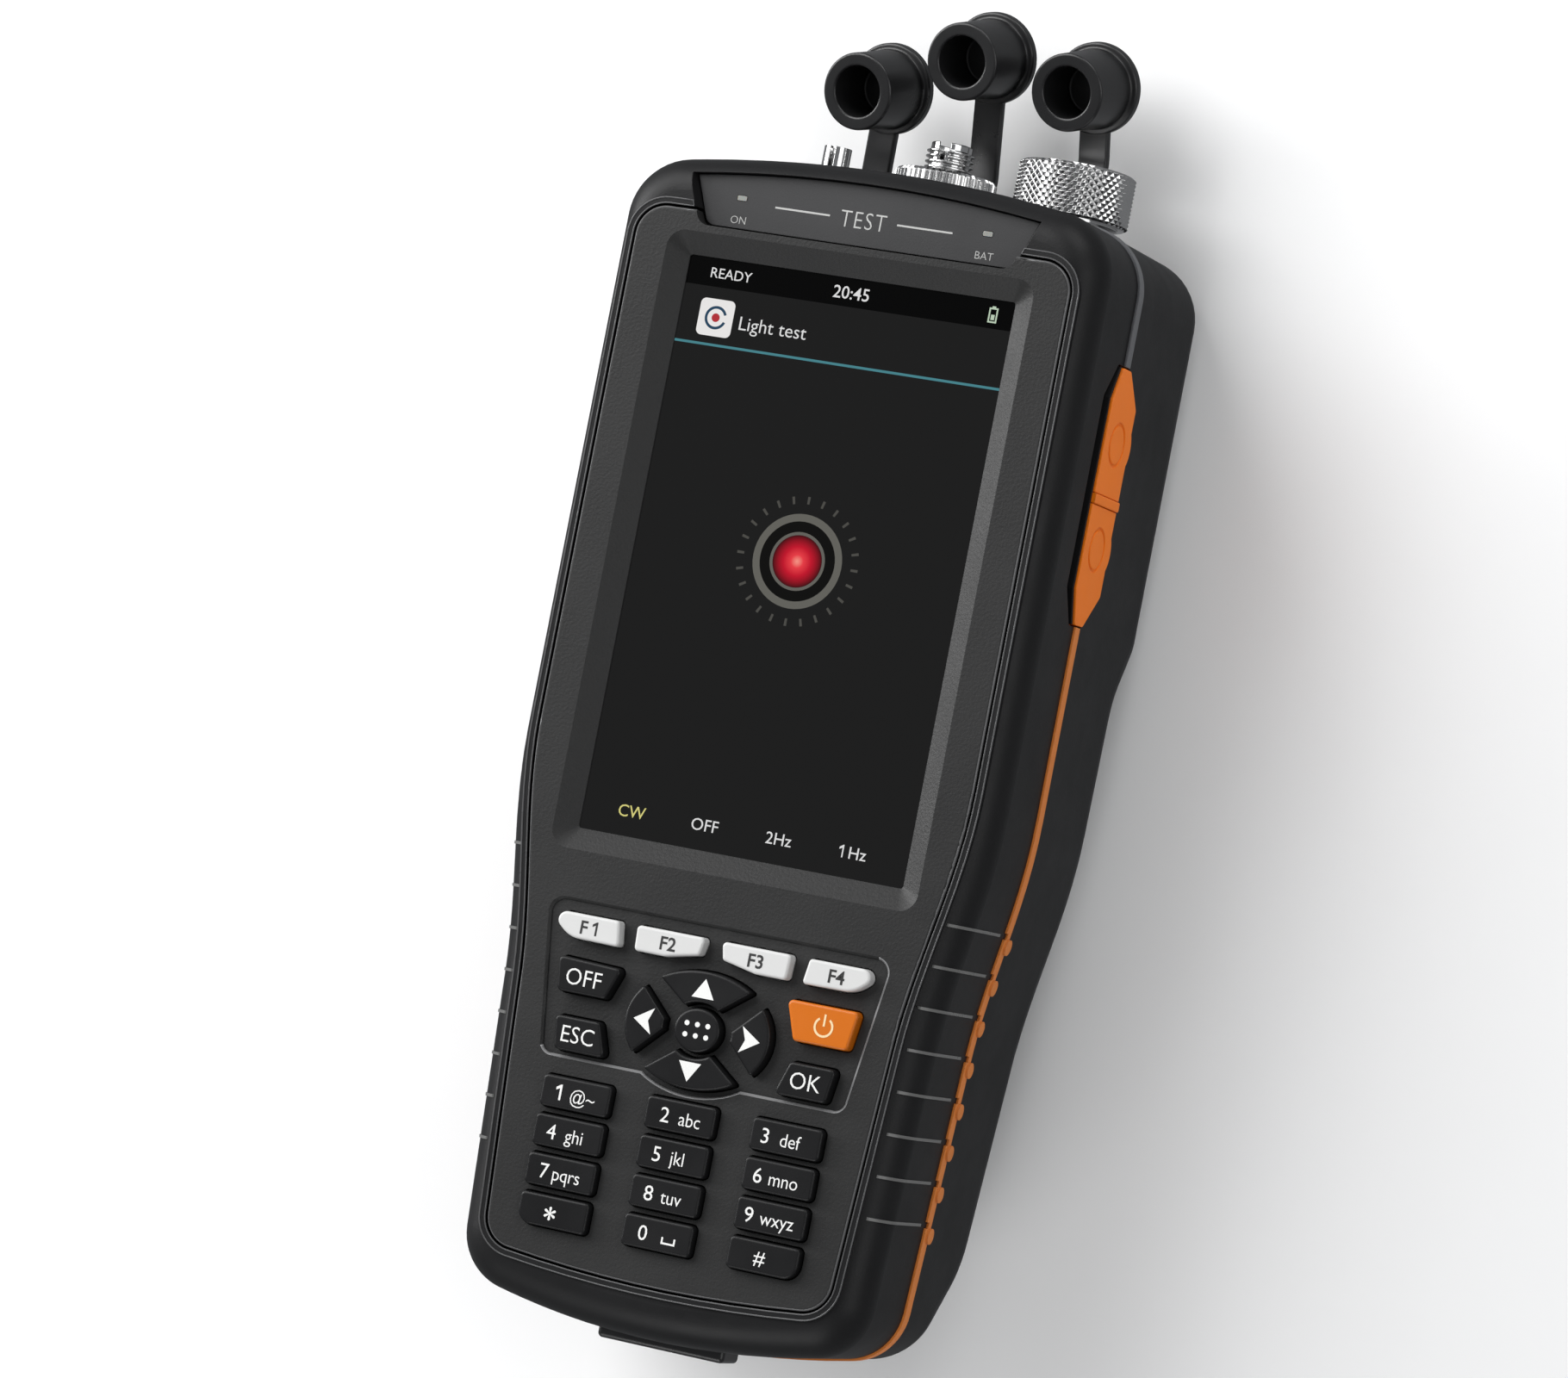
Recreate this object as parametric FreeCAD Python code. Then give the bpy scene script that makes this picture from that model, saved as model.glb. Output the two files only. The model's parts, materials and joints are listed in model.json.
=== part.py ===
"""Handheld fibre-optic reflectometer: a thick two-shell case with a screen, a 25-key pad,
three optical ports on its top end with dust caps on rubber straps, and covered side sockets.

Millimetres. X runs to the right across the screen, Y along the case towards the ports, Z out of
the screen. Heights along the case are measured from the middle of the screen; the finished pieces
are then moved so that the origin lies at the middle of the back face, on which the case rests.
"""
import FreeCAD, Part
import math
import os

from FreeCAD import Vector

os.makedirs("parts", exist_ok=True)

# Levels in depth, from the back face up
back_z = 0.0
back_depth = 33.5
seam_height = 2.2
front_depth = 19.3
seam_low_z = back_z + back_depth
seam_high_z = seam_low_z + seam_height
front_z = seam_high_z + front_depth
panel_z = front_z + 0.5
screen_z = panel_z - 2.5
back_face_y = 27.0

# Screen opening and the sloped bezel round it
screen_half_x = 28.1
screen_half_y = 46.8
screen_corner = 0.5
bezel_slope = 3.5
bezel_corner = 3.0
bezel_step = 0.3
window_lap = 2.0
window_corner = 1.0
window_thickness = 1.5
module_thickness = 3.4
module_lap = 2.6

# Key field: the shallow island of the function keys and the number keys below it
key_row_half = 27.8
key_row_middle = 1.4
key_row_gap = 2.5
island_side = 1.6
island_draw = 3.4
island_drop = 8.0
island_height = 24.5
island_depth = 0.6
island_edge = 0.4
island_margin = 1.0
island_top_corner = 2.2
island_bottom_corner = 1.8
island_top = -screen_half_y - bezel_slope - island_drop
island_bottom = island_top - island_height
island_top_half = key_row_half + island_side
island_bottom_half = island_top_half - island_draw
number_key_width = 12.0
number_key_height = 5.1
number_key_pitch = 6.27
number_rows = 4
number_row_drop = 5.8
number_key_margin = 5.4
number_row_y = island_bottom - number_row_drop
last_row_y = number_row_y - (number_rows - 1) * number_key_pitch

# Front panel, its groove and the raised rim round it. The head is as wide as the screen needs, and
# the grip as wide as the keys need.
panel_side = 5.8
panel_head = 3.6
panel_foot = 5.84
panel_grip_side = 2.7
panel_grip_draw = 2.5
panel_half = screen_half_x + bezel_slope + panel_side
panel_grip_half = island_top_half + panel_grip_side
panel_end_half = panel_grip_half - panel_grip_draw
panel_top = screen_half_y + bezel_slope + panel_head
panel_bottom = last_row_y - number_key_height / 2 - panel_foot
panel_top_radius = 4000.0
panel_bottom_radius = 224.0
panel_corner = 5.0
panel_thickness = 4.0
panel_gap = 0.5
panel_ledge = 2.2
panel_edge_radius = 0.5
ledge_thickness = 2.0
rim_width = 0.9
rim_height = 0.3
number_column = panel_end_half - number_key_margin - number_key_width / 2

# Case plan: half widths, ends, waist and corner radii
case_side = 4.1
case_grip_side = 5.1
case_end_side = 5.3
case_head = 10.9
case_foot = 8.5
case_half = panel_half + case_side
case_grip_half = panel_grip_half + case_grip_side
case_end_half = panel_end_half + case_end_side
case_top = panel_top + case_head
case_bottom = panel_bottom - case_foot
case_top_radius = 226.0
case_bottom_radius = 130.5
case_top_corner = 10.5
case_bottom_corner = 9.5
waist_rise = 14.8
waist_length = 40.0
waist_start = waist_rise - screen_half_y
waist_end = waist_start - waist_length
waist_pull = 15.0
panel_waist_start = waist_start + 2.0
wall = 3.0
front_edge_radius = 6.0
back_edge_radius = 6.0

# Back profile: the thick head, the ramp and the thinner grip
head_end_y = -2.0
ramp_length = 9.0
ramp_end_y = head_end_y - ramp_length
grip_z = 5.4
grip_end_rise = 3.6
grip_end_z = grip_z + grip_end_rise
grip_end_length = 18.3
grip_end_y = case_bottom + grip_end_length
ramp_radius = 9.0
grip_end_radius = 16.0
chin_drop = 5.5
chin_z = seam_low_z - chin_drop

# Nameplate and its two lights
plate_side_half = case_half - 11.8
plate_bottom_half = plate_side_half - 3.3
plate_bottom = panel_top - 1.9
plate_side_y = plate_bottom + 8.4
plate_corner = 1.8
plate_lean = 1.2
plate_top_inset = 3.1
plate_thickness = 1.2
plate_gap = 0.2
plate_flare = 1.0
light_x = plate_bottom_half - 5.2
light_y = plate_bottom + 4.9
light_width = 1.6
light_height = 0.8
light_corner = 0.2
light_proud = 0.1

# Keys: how far they stand up, their lips, and the arrow pad
key_proud = 1.5
key_top_z = panel_z + key_proud
key_gap = 0.25
key_lip = 0.42
key_lip_thickness = 0.8
key_lip_gap = 0.2
key_lip_overlap = 0.3
key_travel_room = 0.9
key_top_radius = 0.45
key_corner = 0.8
number_corner = 2.4
panel_key_thickness = 2.6
pad_drop = 16.4
dpad_y = island_top - pad_drop
dpad_half_x = 12.5
dpad_half_y = 9.4
dpad_hub_x = 4.9
dpad_hub_y = 4.4
dpad_side_hub_x = 5.8
dpad_corner = 0.35
menu_half_x = 3.9
menu_half_y = 3.5

# Boards, battery and optical module
board_thickness = 1.6
board_clearance = 1.5
board_boss_radius = 1.9
board_boss_x = screen_half_x + 5.0
board_boss_y = 30.0
battery_margin = 4.0
battery_side = 1.4
battery_depth = 18.6
battery_corner = 2.0
optics_half_x = case_half - 15.5
optics_length = 36.0
optics_depth = 22.0
optics_gap = 0.2

# Seam trim and grip details on both flanks
trim_proud = 0.35
nub_radius = 1.3
nub_proud = 0.3
nub_root = 0.5
nub_seat = 0.05
nub_count = 8
nub_drop = 5.9
nub_pitch = 6.74
notch_width = 0.9
notch_height = 0.8
notch_depth = 1.0
notch_gap = 0.05
rib_lead = 1.7
rib_width = 0.4
rib_proud = 0.15
rib_low_z = seam_high_z + 2.3
rib_high_z = front_z - 0.8
nub_first_y = -screen_half_y - nub_drop
rib_first_y = nub_first_y + rib_lead

# Orange side cover over the two side sockets
cover_mid_z = (seam_low_z + seam_high_z) / 2
cover_drop = 7.6
cover_rise = 4.4
cover_low_z = cover_mid_z - cover_drop
cover_high_z = cover_mid_z + cover_rise
cover_bottom = -0.5
cover_top = 41.0
cover_taper = 5.5
cover_tip = 3.8
cover_corner = 0.8
cover_thickness = 1.7
cover_proud = 0.4
cover_floor_gap = 0.2
cover_gap = 0.3
cover_spine_y = 19.7
cover_spine_width = 1.6
cover_spine_proud = 0.25
cover_hinge_gap = 0.1
pocket_margin = 3.2
cover_lip_width = 0.5
cover_lip_drop = 0.3
cover_lip_root = 0.5
tab_radius = 4.2
tab_reach = 0.9
grip_ring_radius = 3.6
grip_ring_width = 0.5
grip_ring_depth = 0.3
socket_z = cover_mid_z - 1.6
usb_y = 29.0
usb_width = 7.6
usb_height = 2.9
usb_corner = 0.8
jack_y = 12.0
jack_radius = 3.3
jack_bore = 2.8
jack_pin = 1.0
socket_fit = 0.15
socket_shell = 0.4
socket_floor = 1.0
socket_length = 6.5
jack_length = 13.0

# Bottom cover over the host socket, which hangs under the main board
bottom_cover_half = 11.0
bottom_cover_half_height = 3.5
bottom_cover_thickness = 2.6
bottom_cover_proud = 1.4
bottom_cover_radius = 0.8
host_half_x = 6.6
host_height = 5.6
host_length = 10.0
host_standoff = 0.2
host_tongue_side = 1.5

# Battery door and its screws
door_half = case_grip_half - 13.2
door_low_y = grip_end_y + 2.0
door_head_gap = 17.0
door_high_y = ramp_end_y - door_head_gap
door_thickness = 1.6
door_lap = 4.0
door_gap = 0.2
door_corner = 5.0
door_screw_inset = 2.2
door_screw_margin = 6.0
door_screw_radius = 1.2
door_screw_head = 2.2
door_screw_length = 6.0
door_seat = 0.9
door_boss_wall = 1.6
screw_fit = 0.05

# Optical ports
port_z = 18.5
port_pitch = 22.4
ferrule_bore = 1.26
ferrule_depth = 6.0
vfl_x = -20.8
vfl_radius = 2.3
vfl_height = 7.6
vfl_base_radius = 4.2
vfl_base_height = 1.2
vfl_slot_width = 0.9
vfl_slot_length = 3.4
fc_x = -1.0
fc_thread_radius = 4.0
fc_thread_length = 4.9
fc_shank_radius = 4.5
fc_throat_radius = 3.0
fc_sleeve_radius = 1.9
fc_sleeve_drop = 1.3
fc_key_width = 2.1
fc_key_length = 3.0
fc_ring_radius = 8.5
fc_ring_height = 4.4
meter_x = fc_x + port_pitch
meter_nose_radius = 8.0
meter_window_radius = 2.5
meter_ring_radius = 9.7
meter_ring_height = 8.7
meter_ring_roof = 2.54
meter_ring_edge = 0.4
ring_fit = 0.06
ring_lift = 0.3
port_neck_radius = 5.0
port_body_radius = 6.4
port_body_depth = 14.0
laser_radius = 4.5
laser_length = 6.0

# Case screws: two in the head, clear below the ports' bodies, and two in the grip
case_screw_inset = 7.0
case_screw_drop = 5.8
case_screw_x = case_half - case_screw_inset
case_screw_y = case_top - wall - port_body_depth - case_screw_drop
grip_screw_inset = 11.2
grip_screw_x = case_grip_half - grip_screw_inset
grip_screw_y = grip_end_y + 0.5
case_screw_radius = 1.5
case_screw_head = 2.9
case_screw_head_height = 2.2
case_screw_sink = 4.0
case_screw_column = 3.7

# Dust caps and their straps: how far each stands from its port, how high its strap goes before it
# leans over, how long the strap is in all, and how many degrees it leans sideways
cap_bore_radius = 4.2
cap_barrel_radius = 6.4
cap_length = 11.6
cap_bore_depth = 9.6
cap_disc_radius = 7.6
cap_disc_thickness = 1.8
strap_width = 5.2
strap_thickness = 1.5
strap_z = 7.3
cap_tilt = 15.5
cap_yaw = -6.0
anchor_height = 1.0
anchor_half_x = 3.4
anchor_half_z = 1.1
anchor_stem = 0.9
strap_gap = 0.1
caps = {
    "vfl_dust_cap": {"x": vfl_x + 2.7, "upright": 2.0, "reach": 18.0, "lean": 7.5},
    "fc_dust_cap": {"x": fc_x + 1.9, "upright": 5.0, "reach": 25.0, "lean": 1.5},
    "meter_dust_cap": {"x": meter_x - 1.5, "upright": 11.0, "reach": 23.0, "lean": -1.5},
}

frame_move = Vector(0, -back_face_y, 0)


def save(name, shapes):
    """Write one piece, or a group of like pieces, moved into the part's frame."""
    solids = []
    for shape in shapes if isinstance(shapes, list) else [shapes]:
        solids.extend(shape.Solids)
    body = solids[0] if len(solids) == 1 else Part.makeCompound(solids)
    body.translate(frame_move)
    body.exportStep("parts/" + name + ".step")
    print(name, len(solids), round(body.Volume, 1), all(s.isValid() for s in solids))


# Outlines

def offset_polygon(points, grow):
    """Corners of an anticlockwise polygon with every side moved outwards."""
    moved = []
    for i, (x, y) in enumerate(points):
        before = points[i - 1]
        after = points[(i + 1) % len(points)]
        first = Vector(y - before[1], before[0] - x, 0).normalize()
        second = Vector(after[1] - y, x - after[0], 0).normalize()
        share = grow / (1 + first.dot(second))
        moved.append((x + (first.x + second.x) * share, y + (first.y + second.y) * share))
    return moved


def rounded_face(points, radii, place):
    """Flat face of a polygon with rounded corners; place puts a plane point in space."""
    count = len(points)
    if not isinstance(radii, (list, tuple)):
        radii = [radii] * count
    starts, ends, middles = [], [], []
    for i, (x, y) in enumerate(points):
        corner = Vector(x, y, 0)
        back = (Vector(*points[i - 1], 0) - corner).normalize()
        ahead = (Vector(*points[(i + 1) % count], 0) - corner).normalize()
        half = back.getAngle(ahead) / 2
        reach = radii[i] / math.tan(half)
        outward = (back + ahead).normalize()
        starts.append(corner + back * reach)
        ends.append(corner + ahead * reach)
        middles.append(corner + outward * (radii[i] / math.sin(half) - radii[i]))
    edges = []
    for i in range(count):
        if radii[i] > 0:
            edges.append(Part.Arc(place(starts[i]), place(middles[i]), place(ends[i])).toShape())
        following = starts[(i + 1) % count]
        if (following - ends[i]).Length > 1e-4:
            edges.append(Part.LineSegment(place(ends[i]), place(following)).toShape())
    return Part.Face(Part.Wire(edges))


def prism(points, radii, z0, z1, grow=0.0):
    """Upright prism of a rounded polygon between two levels."""
    if grow:
        points = offset_polygon(points, grow)
        listed = isinstance(radii, (list, tuple))
        radii = [max(r + grow, 0.05) for r in radii] if listed else max(radii + grow, 0.05)
    face = rounded_face(points, radii, lambda p: Vector(p.x, p.y, z0))
    return face.extrude(Vector(0, 0, z1 - z0))


def box_points(half_x, half_y, y=0.0, x=0.0):
    """Corners of a rectangle about (x, y)."""
    return [(x - half_x, y - half_y), (x + half_x, y - half_y),
            (x + half_x, y + half_y), (x - half_x, y + half_y)]


def ellipse_prism(half_x, half_y, y, z0, z1):
    """Upright elliptic cylinder on the middle line."""
    major, minor = max(half_x, half_y), min(half_x, half_y)
    curve = Part.Ellipse(Vector(0, y, z0), major, minor).toShape()
    if half_y > half_x:
        curve.rotate(Vector(0, y, z0), Vector(0, 0, 1), 90)
    return Part.Face(Part.Wire(curve)).extrude(Vector(0, 0, z1 - z0))


def post(x, y, z0, z1, radius):
    """Upright cylinder."""
    return Part.makeCylinder(radius, z1 - z0, Vector(x, y, z0))


def port_turn(x, y0, y1, radius, z=None):
    """Cylinder along Y on a port's axis."""
    return Part.makeCylinder(radius, y1 - y0, Vector(x, y0, port_z if z is None else z), Vector(0, 1, 0))


def joined(shapes):
    """One solid from touching or crossing shapes."""
    return shapes[0].multiFuse(shapes[1:]).removeSplitter()


case_plan = {
    "half": case_half, "grip": case_grip_half, "end": case_end_half, "start": waist_start,
    "top": case_top, "top_radius": case_top_radius, "bottom": case_bottom,
    "bottom_radius": case_bottom_radius, "top_corner": case_top_corner,
    "bottom_corner": case_bottom_corner,
}
panel_plan = {
    "half": panel_half, "grip": panel_grip_half, "end": panel_end_half,
    "start": panel_waist_start, "top": panel_top, "top_radius": panel_top_radius,
    "bottom": panel_bottom, "bottom_radius": panel_bottom_radius,
    "top_corner": panel_corner, "bottom_corner": panel_corner,
}


def crown_y(plan, x, inset=0.0):
    """Height of the plan's top edge at x."""
    radius = plan["top_radius"]
    return plan["top"] - radius + math.sqrt((radius - inset) ** 2 - x ** 2)


def seat_y(x, half):
    """Height at which a flat piece of that half width rests on the case's curved end."""
    return crown_y(case_plan, max(abs(x) - half, 0.0))


def inner_face_y(x):
    """Height at which a port's body meets the curved inner face of the end wall."""
    return crown_y(case_plan, abs(x) + port_body_radius) - wall


def foot_y(plan, x, inset=0.0):
    """Height of the plan's bottom edge at x."""
    radius = plan["bottom_radius"]
    return plan["bottom"] + radius - math.sqrt((radius - inset) ** 2 - x ** 2)


def plan_solid(plan, inset, z0, z1):
    """Case or panel outline, moved in by inset and extruded, with its four corners rounded."""
    half = plan["half"] - inset
    grip = plan["grip"] - inset
    end = plan["end"] - inset
    top = crown_y(plan, half, inset)
    foot = foot_y(plan, end, inset)
    lean = (grip - end) / (waist_end - foot)

    def flank(side):
        start = Vector(side * half, plan["start"], z0)
        finish = Vector(side * grip, waist_end, z0)
        curve = Part.BezierCurve()
        curve.setPoles([start, start - Vector(0, waist_pull, 0),
                        finish + Vector(side * lean * waist_pull, waist_pull, 0), finish])
        return [Part.LineSegment(Vector(side * half, top, z0), start).toShape(), curve.toShape(),
                Part.LineSegment(finish, Vector(side * end, foot, z0)).toShape()]

    head = Part.Arc(Vector(-half, top, z0), Vector(0, crown_y(plan, 0, inset), z0),
                    Vector(half, top, z0)).toShape()
    tail = Part.Arc(Vector(-end, foot, z0), Vector(0, foot_y(plan, 0, inset), z0),
                    Vector(end, foot, z0)).toShape()
    wire = Part.Wire(Part.__sortEdges__([head, tail] + flank(1) + flank(-1)))
    solid = Part.Face(wire).extrude(Vector(0, 0, z1 - z0))
    for corner, radius in (((half, top), plan["top_corner"]), ((end, foot), plan["bottom_corner"])):
        upright = [e for e in solid.Edges if abs(e.Vertexes[0].X - e.Vertexes[-1].X) < 1e-6
                   and abs(e.Vertexes[0].Y - e.Vertexes[-1].Y) < 1e-6
                   and abs(abs(e.Vertexes[0].X) - corner[0]) < 1e-3
                   and abs(e.Vertexes[0].Y - corner[1]) < 1e-3]
        solid = solid.makeFillet(max(radius - inset, 0.5), upright)
    return solid


def edges_at(solid, z):
    """Edges that lie in one level plane."""
    return [e for e in solid.Edges if all(abs(v.Z - z) < 1e-5 for v in e.Vertexes)
            and abs(e.BoundBox.ZLength) < 1e-5]


def edges_along_z(solid):
    """Straight upright edges."""
    return [e for e in solid.Edges if e.BoundBox.XLength < 1e-5 and e.BoundBox.YLength < 1e-5]


def back_solid(inset):
    """Solid of the back of the case: the plan cut to the head, ramp and grip profile."""
    beyond = case_top + wall
    below = case_bottom - wall
    profile = [(beyond, back_z + inset), (head_end_y, back_z + inset), (ramp_end_y, grip_z + inset),
               (grip_end_y, grip_end_z + inset), (below, chin_z + inset), (below, seam_low_z),
               (beyond, seam_low_z)]
    radii = [0, ramp_radius, ramp_radius, grip_end_radius, 0, 0, 0]
    face = rounded_face(profile, radii, lambda p: Vector(-2 * case_half, p.x, p.y))
    slab = face.extrude(Vector(4 * case_half, 0, 0))
    return plan_solid(case_plan, inset, back_z, seam_low_z).common(slab)


def back_rim(solid):
    """Edges where the back face turns into the flanks, the head end and the grip end."""
    chosen = []
    for edge in solid.Edges:
        box = edge.BoundBox
        level_top = box.ZMin > seam_low_z - 1e-3
        upright = box.XLength < 1e-4 and box.YLength < 1e-4
        across = box.YLength < 1e-4 and box.XLength > case_half
        if not (level_top or upright or across):
            chosen.append(edge)
    return chosen


def side_outline(points, radii, x0, x1):
    """Prism along X of a rounded polygon in (y, z)."""
    face = rounded_face(points, radii, lambda p: Vector(x0, p.x, p.y))
    return face.extrude(Vector(x1 - x0, 0, 0))


def flank_points(y0, y1, z0, z1):
    """Corners of a rectangle in (y, z)."""
    return [(y0, z0), (y1, z0), (y1, z1), (y0, z1)]


# Side cover outline and the pocket that it lies in

def cover_points(grow_front=0.0):
    """Long hexagon of the side cover, with its ends drawn in to the seam trim."""
    low, high = cover_low_z, cover_high_z + grow_front
    tip_low, tip_high = cover_mid_z - cover_tip / 2, cover_mid_z + cover_tip / 2 + grow_front / 2
    return [(cover_bottom, tip_low), (cover_bottom + cover_taper, low), (cover_top - cover_taper, low),
            (cover_top, tip_low), (cover_top, tip_high), (cover_top - cover_taper, high),
            (cover_bottom + cover_taper, high), (cover_bottom, tip_high)]


cover_out = case_half + cover_proud
cover_in = cover_out - cover_thickness
pocket_floor = cover_in - cover_floor_gap
pocket = side_outline(offset_polygon(cover_points(pocket_margin), cover_gap), 1.0, pocket_floor,
                      2 * case_half)
tab_ys = [usb_y, jack_y]
tab_z = cover_low_z - tab_reach + tab_radius
for tab_y in tab_ys:
    pocket = pocket.fuse(Part.makeCylinder(tab_radius + cover_gap, case_half,
                                           Vector(pocket_floor, tab_y, tab_z), Vector(1, 0, 0)))
usb_hole = side_outline(flank_points(usb_y - usb_width / 2 - socket_fit, usb_y + usb_width / 2 + socket_fit,
                                     socket_z - usb_height / 2 - socket_fit,
                                     socket_z + usb_height / 2 + socket_fit), 1.0, 0.0, 2 * case_half)
jack_hole = Part.makeCylinder(jack_radius + socket_fit, 2 * case_half, Vector(0, jack_y, socket_z),
                              Vector(1, 0, 0))
side_cuts = [pocket, usb_hole, jack_hole]

# Columns for the case screws: one at each corner of the head and two in the grip
case_screw_places = [(side * x, y) for x, y in ((case_screw_x, case_screw_y), (grip_screw_x, grip_screw_y))
                     for side in (1, -1)]

# Levels below the panel, from the screen window down to the main board and the host socket under it
underside_z = panel_z - panel_thickness
ledge_z = underside_z - ledge_thickness
key_under_z = panel_z - panel_key_thickness
window_z = screen_z - window_thickness
module_z = window_z - module_thickness
board_z = module_z - board_thickness
host_z = board_z - host_standoff - host_height / 2


def back_level(y):
    """Level of the outer back face on the middle line at height y."""
    if y > head_end_y:
        return back_z
    share = (ramp_end_y - y) / (ramp_end_y - grip_end_y)
    return grip_z + share * (grip_end_z - grip_z)


screw_seat = {y: back_level(y) + case_screw_sink for _, y in case_screw_places}
screw_floor = 2.0
column_root = 1.0

# Back shell
back_outer = back_solid(0.0)
back_outer = back_outer.makeFillet(back_edge_radius, back_rim(back_outer))
back_inner = back_solid(wall)
door_y = (door_low_y + door_high_y) / 2
door_points = box_points(door_half, (door_high_y - door_low_y) / 2, door_y)
door_skin = back_outer.cut(back_solid(door_thickness))
back_columns = [post(x, y, screw_seat[y] - screw_floor, seam_low_z, case_screw_column)
                for x, y in case_screw_places]
door_screw_places = [(side * (door_half - door_screw_inset), y) for side in (1, -1)
                     for y in (door_low_y + door_screw_margin, door_high_y - door_screw_margin)]
door_bosses = [post(x, y, back_level(y) + wall - column_root, back_level(y) + door_screw_length + screw_floor,
                    door_screw_radius + door_boss_wall) for x, y in door_screw_places]
back_housing = back_outer.cut(back_inner)
back_housing = back_housing.multiFuse(
    [c.common(back_outer) for c in back_columns + door_bosses]
    + [post(x, y, seam_low_z - column_root, seam_high_z, case_screw_column) for x, y in case_screw_places])
back_cuts = side_cuts + [
    prism(door_points, door_corner, back_z, back_level(door_low_y) + wall, door_gap).common(
        back_outer.cut(back_solid(door_thickness + door_gap))),
    prism(door_points, door_corner, back_z, back_level(door_low_y) + 2 * wall, -door_lap),
]
back_cuts += [post(x, y, back_z - wall, screw_seat[y], case_screw_head + screw_fit)
              for x, y in case_screw_places]
back_cuts += [post(x, y, back_z, seam_high_z, case_screw_radius + screw_fit)
              for x, y in case_screw_places]
back_cuts += [post(x, y, back_z, back_level(y) + door_screw_length + screw_fit, door_screw_radius + screw_fit)
              for x, y in door_screw_places]
back_cuts += [port_turn(x, 0, 2 * case_top, port_neck_radius + screw_fit) for x in (vfl_x, fc_x, meter_x)]
back_cuts += [port_turn(cap["x"], case_top - 2 * wall, 2 * case_top, anchor_stem + screw_fit, strap_z)
              for cap in caps.values()]
back_housing = back_housing.cut(back_cuts)
save("rear_housing", back_housing)

# Battery door, flush with the grip's back, and its four screws
door = door_skin.common(prism(door_points, door_corner, back_z, back_level(door_low_y) + 2 * wall))
door_heads = [post(x, y, back_z, back_level(y) + door_seat, door_screw_head + screw_fit)
              for x, y in door_screw_places]
door_holes = [post(x, y, back_z, 2 * wall + grip_end_z, door_screw_radius + screw_fit)
              for x, y in door_screw_places]
save("battery_door", door.cut(door_heads + door_holes))
door_head_low = 0.35
save("battery_door_screws", [joined([
    post(x, y, back_level(y) + door_head_low, back_level(y) + door_seat, door_screw_head),
    post(x, y, back_level(y) + door_head_low, back_level(y) + door_screw_length, door_screw_radius),
]) for x, y in door_screw_places])

# Front shell: a rounded rim with the panel's opening and ledge, and the raised nameplate ears
front = plan_solid(case_plan, 0.0, seam_high_z, front_z)
front = front.makeFillet(front_edge_radius, edges_at(front, front_z))
rim = plan_solid(panel_plan, -panel_gap - rim_width, ledge_z, front_z + rim_height).cut(
    plan_solid(panel_plan, -panel_gap, ledge_z, front_z + rim_height))
plate_points = [(-plate_bottom_half, plate_bottom), (plate_bottom_half, plate_bottom),
                (plate_side_half, plate_side_y), (plate_side_half + plate_lean, case_top),
                (-plate_side_half - plate_lean, case_top), (-plate_side_half, plate_side_y)]
plate_corners = [plate_corner, plate_corner, 0, 0, 0, 0]
plate_low_z = screen_z - plate_thickness
plate_bed = prism(plate_points, plate_corners, plate_low_z, screen_z + plate_gap, plate_gap).common(
    plan_solid(case_plan, plate_top_inset - plate_gap, plate_low_z, screen_z + plate_gap))
flare_low = rounded_face(offset_polygon(plate_points, plate_gap),
                         [r + plate_gap if r else 0 for r in plate_corners],
                         lambda p: Vector(p.x, p.y, screen_z)).OuterWire
flare_high = rounded_face(offset_polygon(plate_points, plate_gap + plate_flare),
                          [r + plate_gap + plate_flare if r else 0 for r in plate_corners],
                          lambda p: Vector(p.x, p.y, panel_z + 1)).OuterWire
plate_flare_cut = Part.makeLoft([flare_low, flare_high], True, True).common(
    plan_solid(case_plan, plate_top_inset - plate_gap, screen_z, panel_z + 1))
front_columns = [post(x, y, seam_high_z, ledge_z + column_root, case_screw_column)
                 for x, y in case_screw_places]
cavity = plan_solid(case_plan, wall, seam_high_z, ledge_z)
front_housing = front.cut(cavity).multiFuse([rim] + front_columns)
light_points = [box_points(light_width / 2, light_height / 2, light_y, side * light_x) for side in (-1, 1)]
front_cuts = side_cuts + [
    plan_solid(panel_plan, panel_ledge, ledge_z - 1, panel_z),
    plan_solid(panel_plan, -panel_gap, panel_z - panel_thickness, panel_z + rim_height),
    plate_bed, plate_flare_cut,
]
case_screw_top = ledge_z - column_root
front_cuts += [post(x, y, seam_low_z, case_screw_top, case_screw_radius + screw_fit)
               for x, y in case_screw_places]
front_cuts += [prism(points, light_corner, ledge_z - 1, panel_z, screw_fit) for points in light_points]
host_box = Part.makeBox(2 * (host_half_x + socket_fit), 4 * wall, host_height + 2 * socket_fit,
                        Vector(-host_half_x - socket_fit, case_bottom - 2 * wall,
                               host_z - host_height / 2 - socket_fit))
cover_seat_y = case_bottom - bottom_cover_proud + bottom_cover_thickness
bottom_pocket = Part.makeBox(2 * (bottom_cover_half + cover_gap), wall * 2,
                             2 * (bottom_cover_half_height + cover_gap),
                             Vector(-bottom_cover_half - cover_gap,
                                    cover_seat_y + cover_floor_gap - 2 * wall,
                                    host_z - bottom_cover_half_height - cover_gap))
front_cuts += [host_box, bottom_pocket]
front_housing = front_housing.cut(front_cuts)


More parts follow.
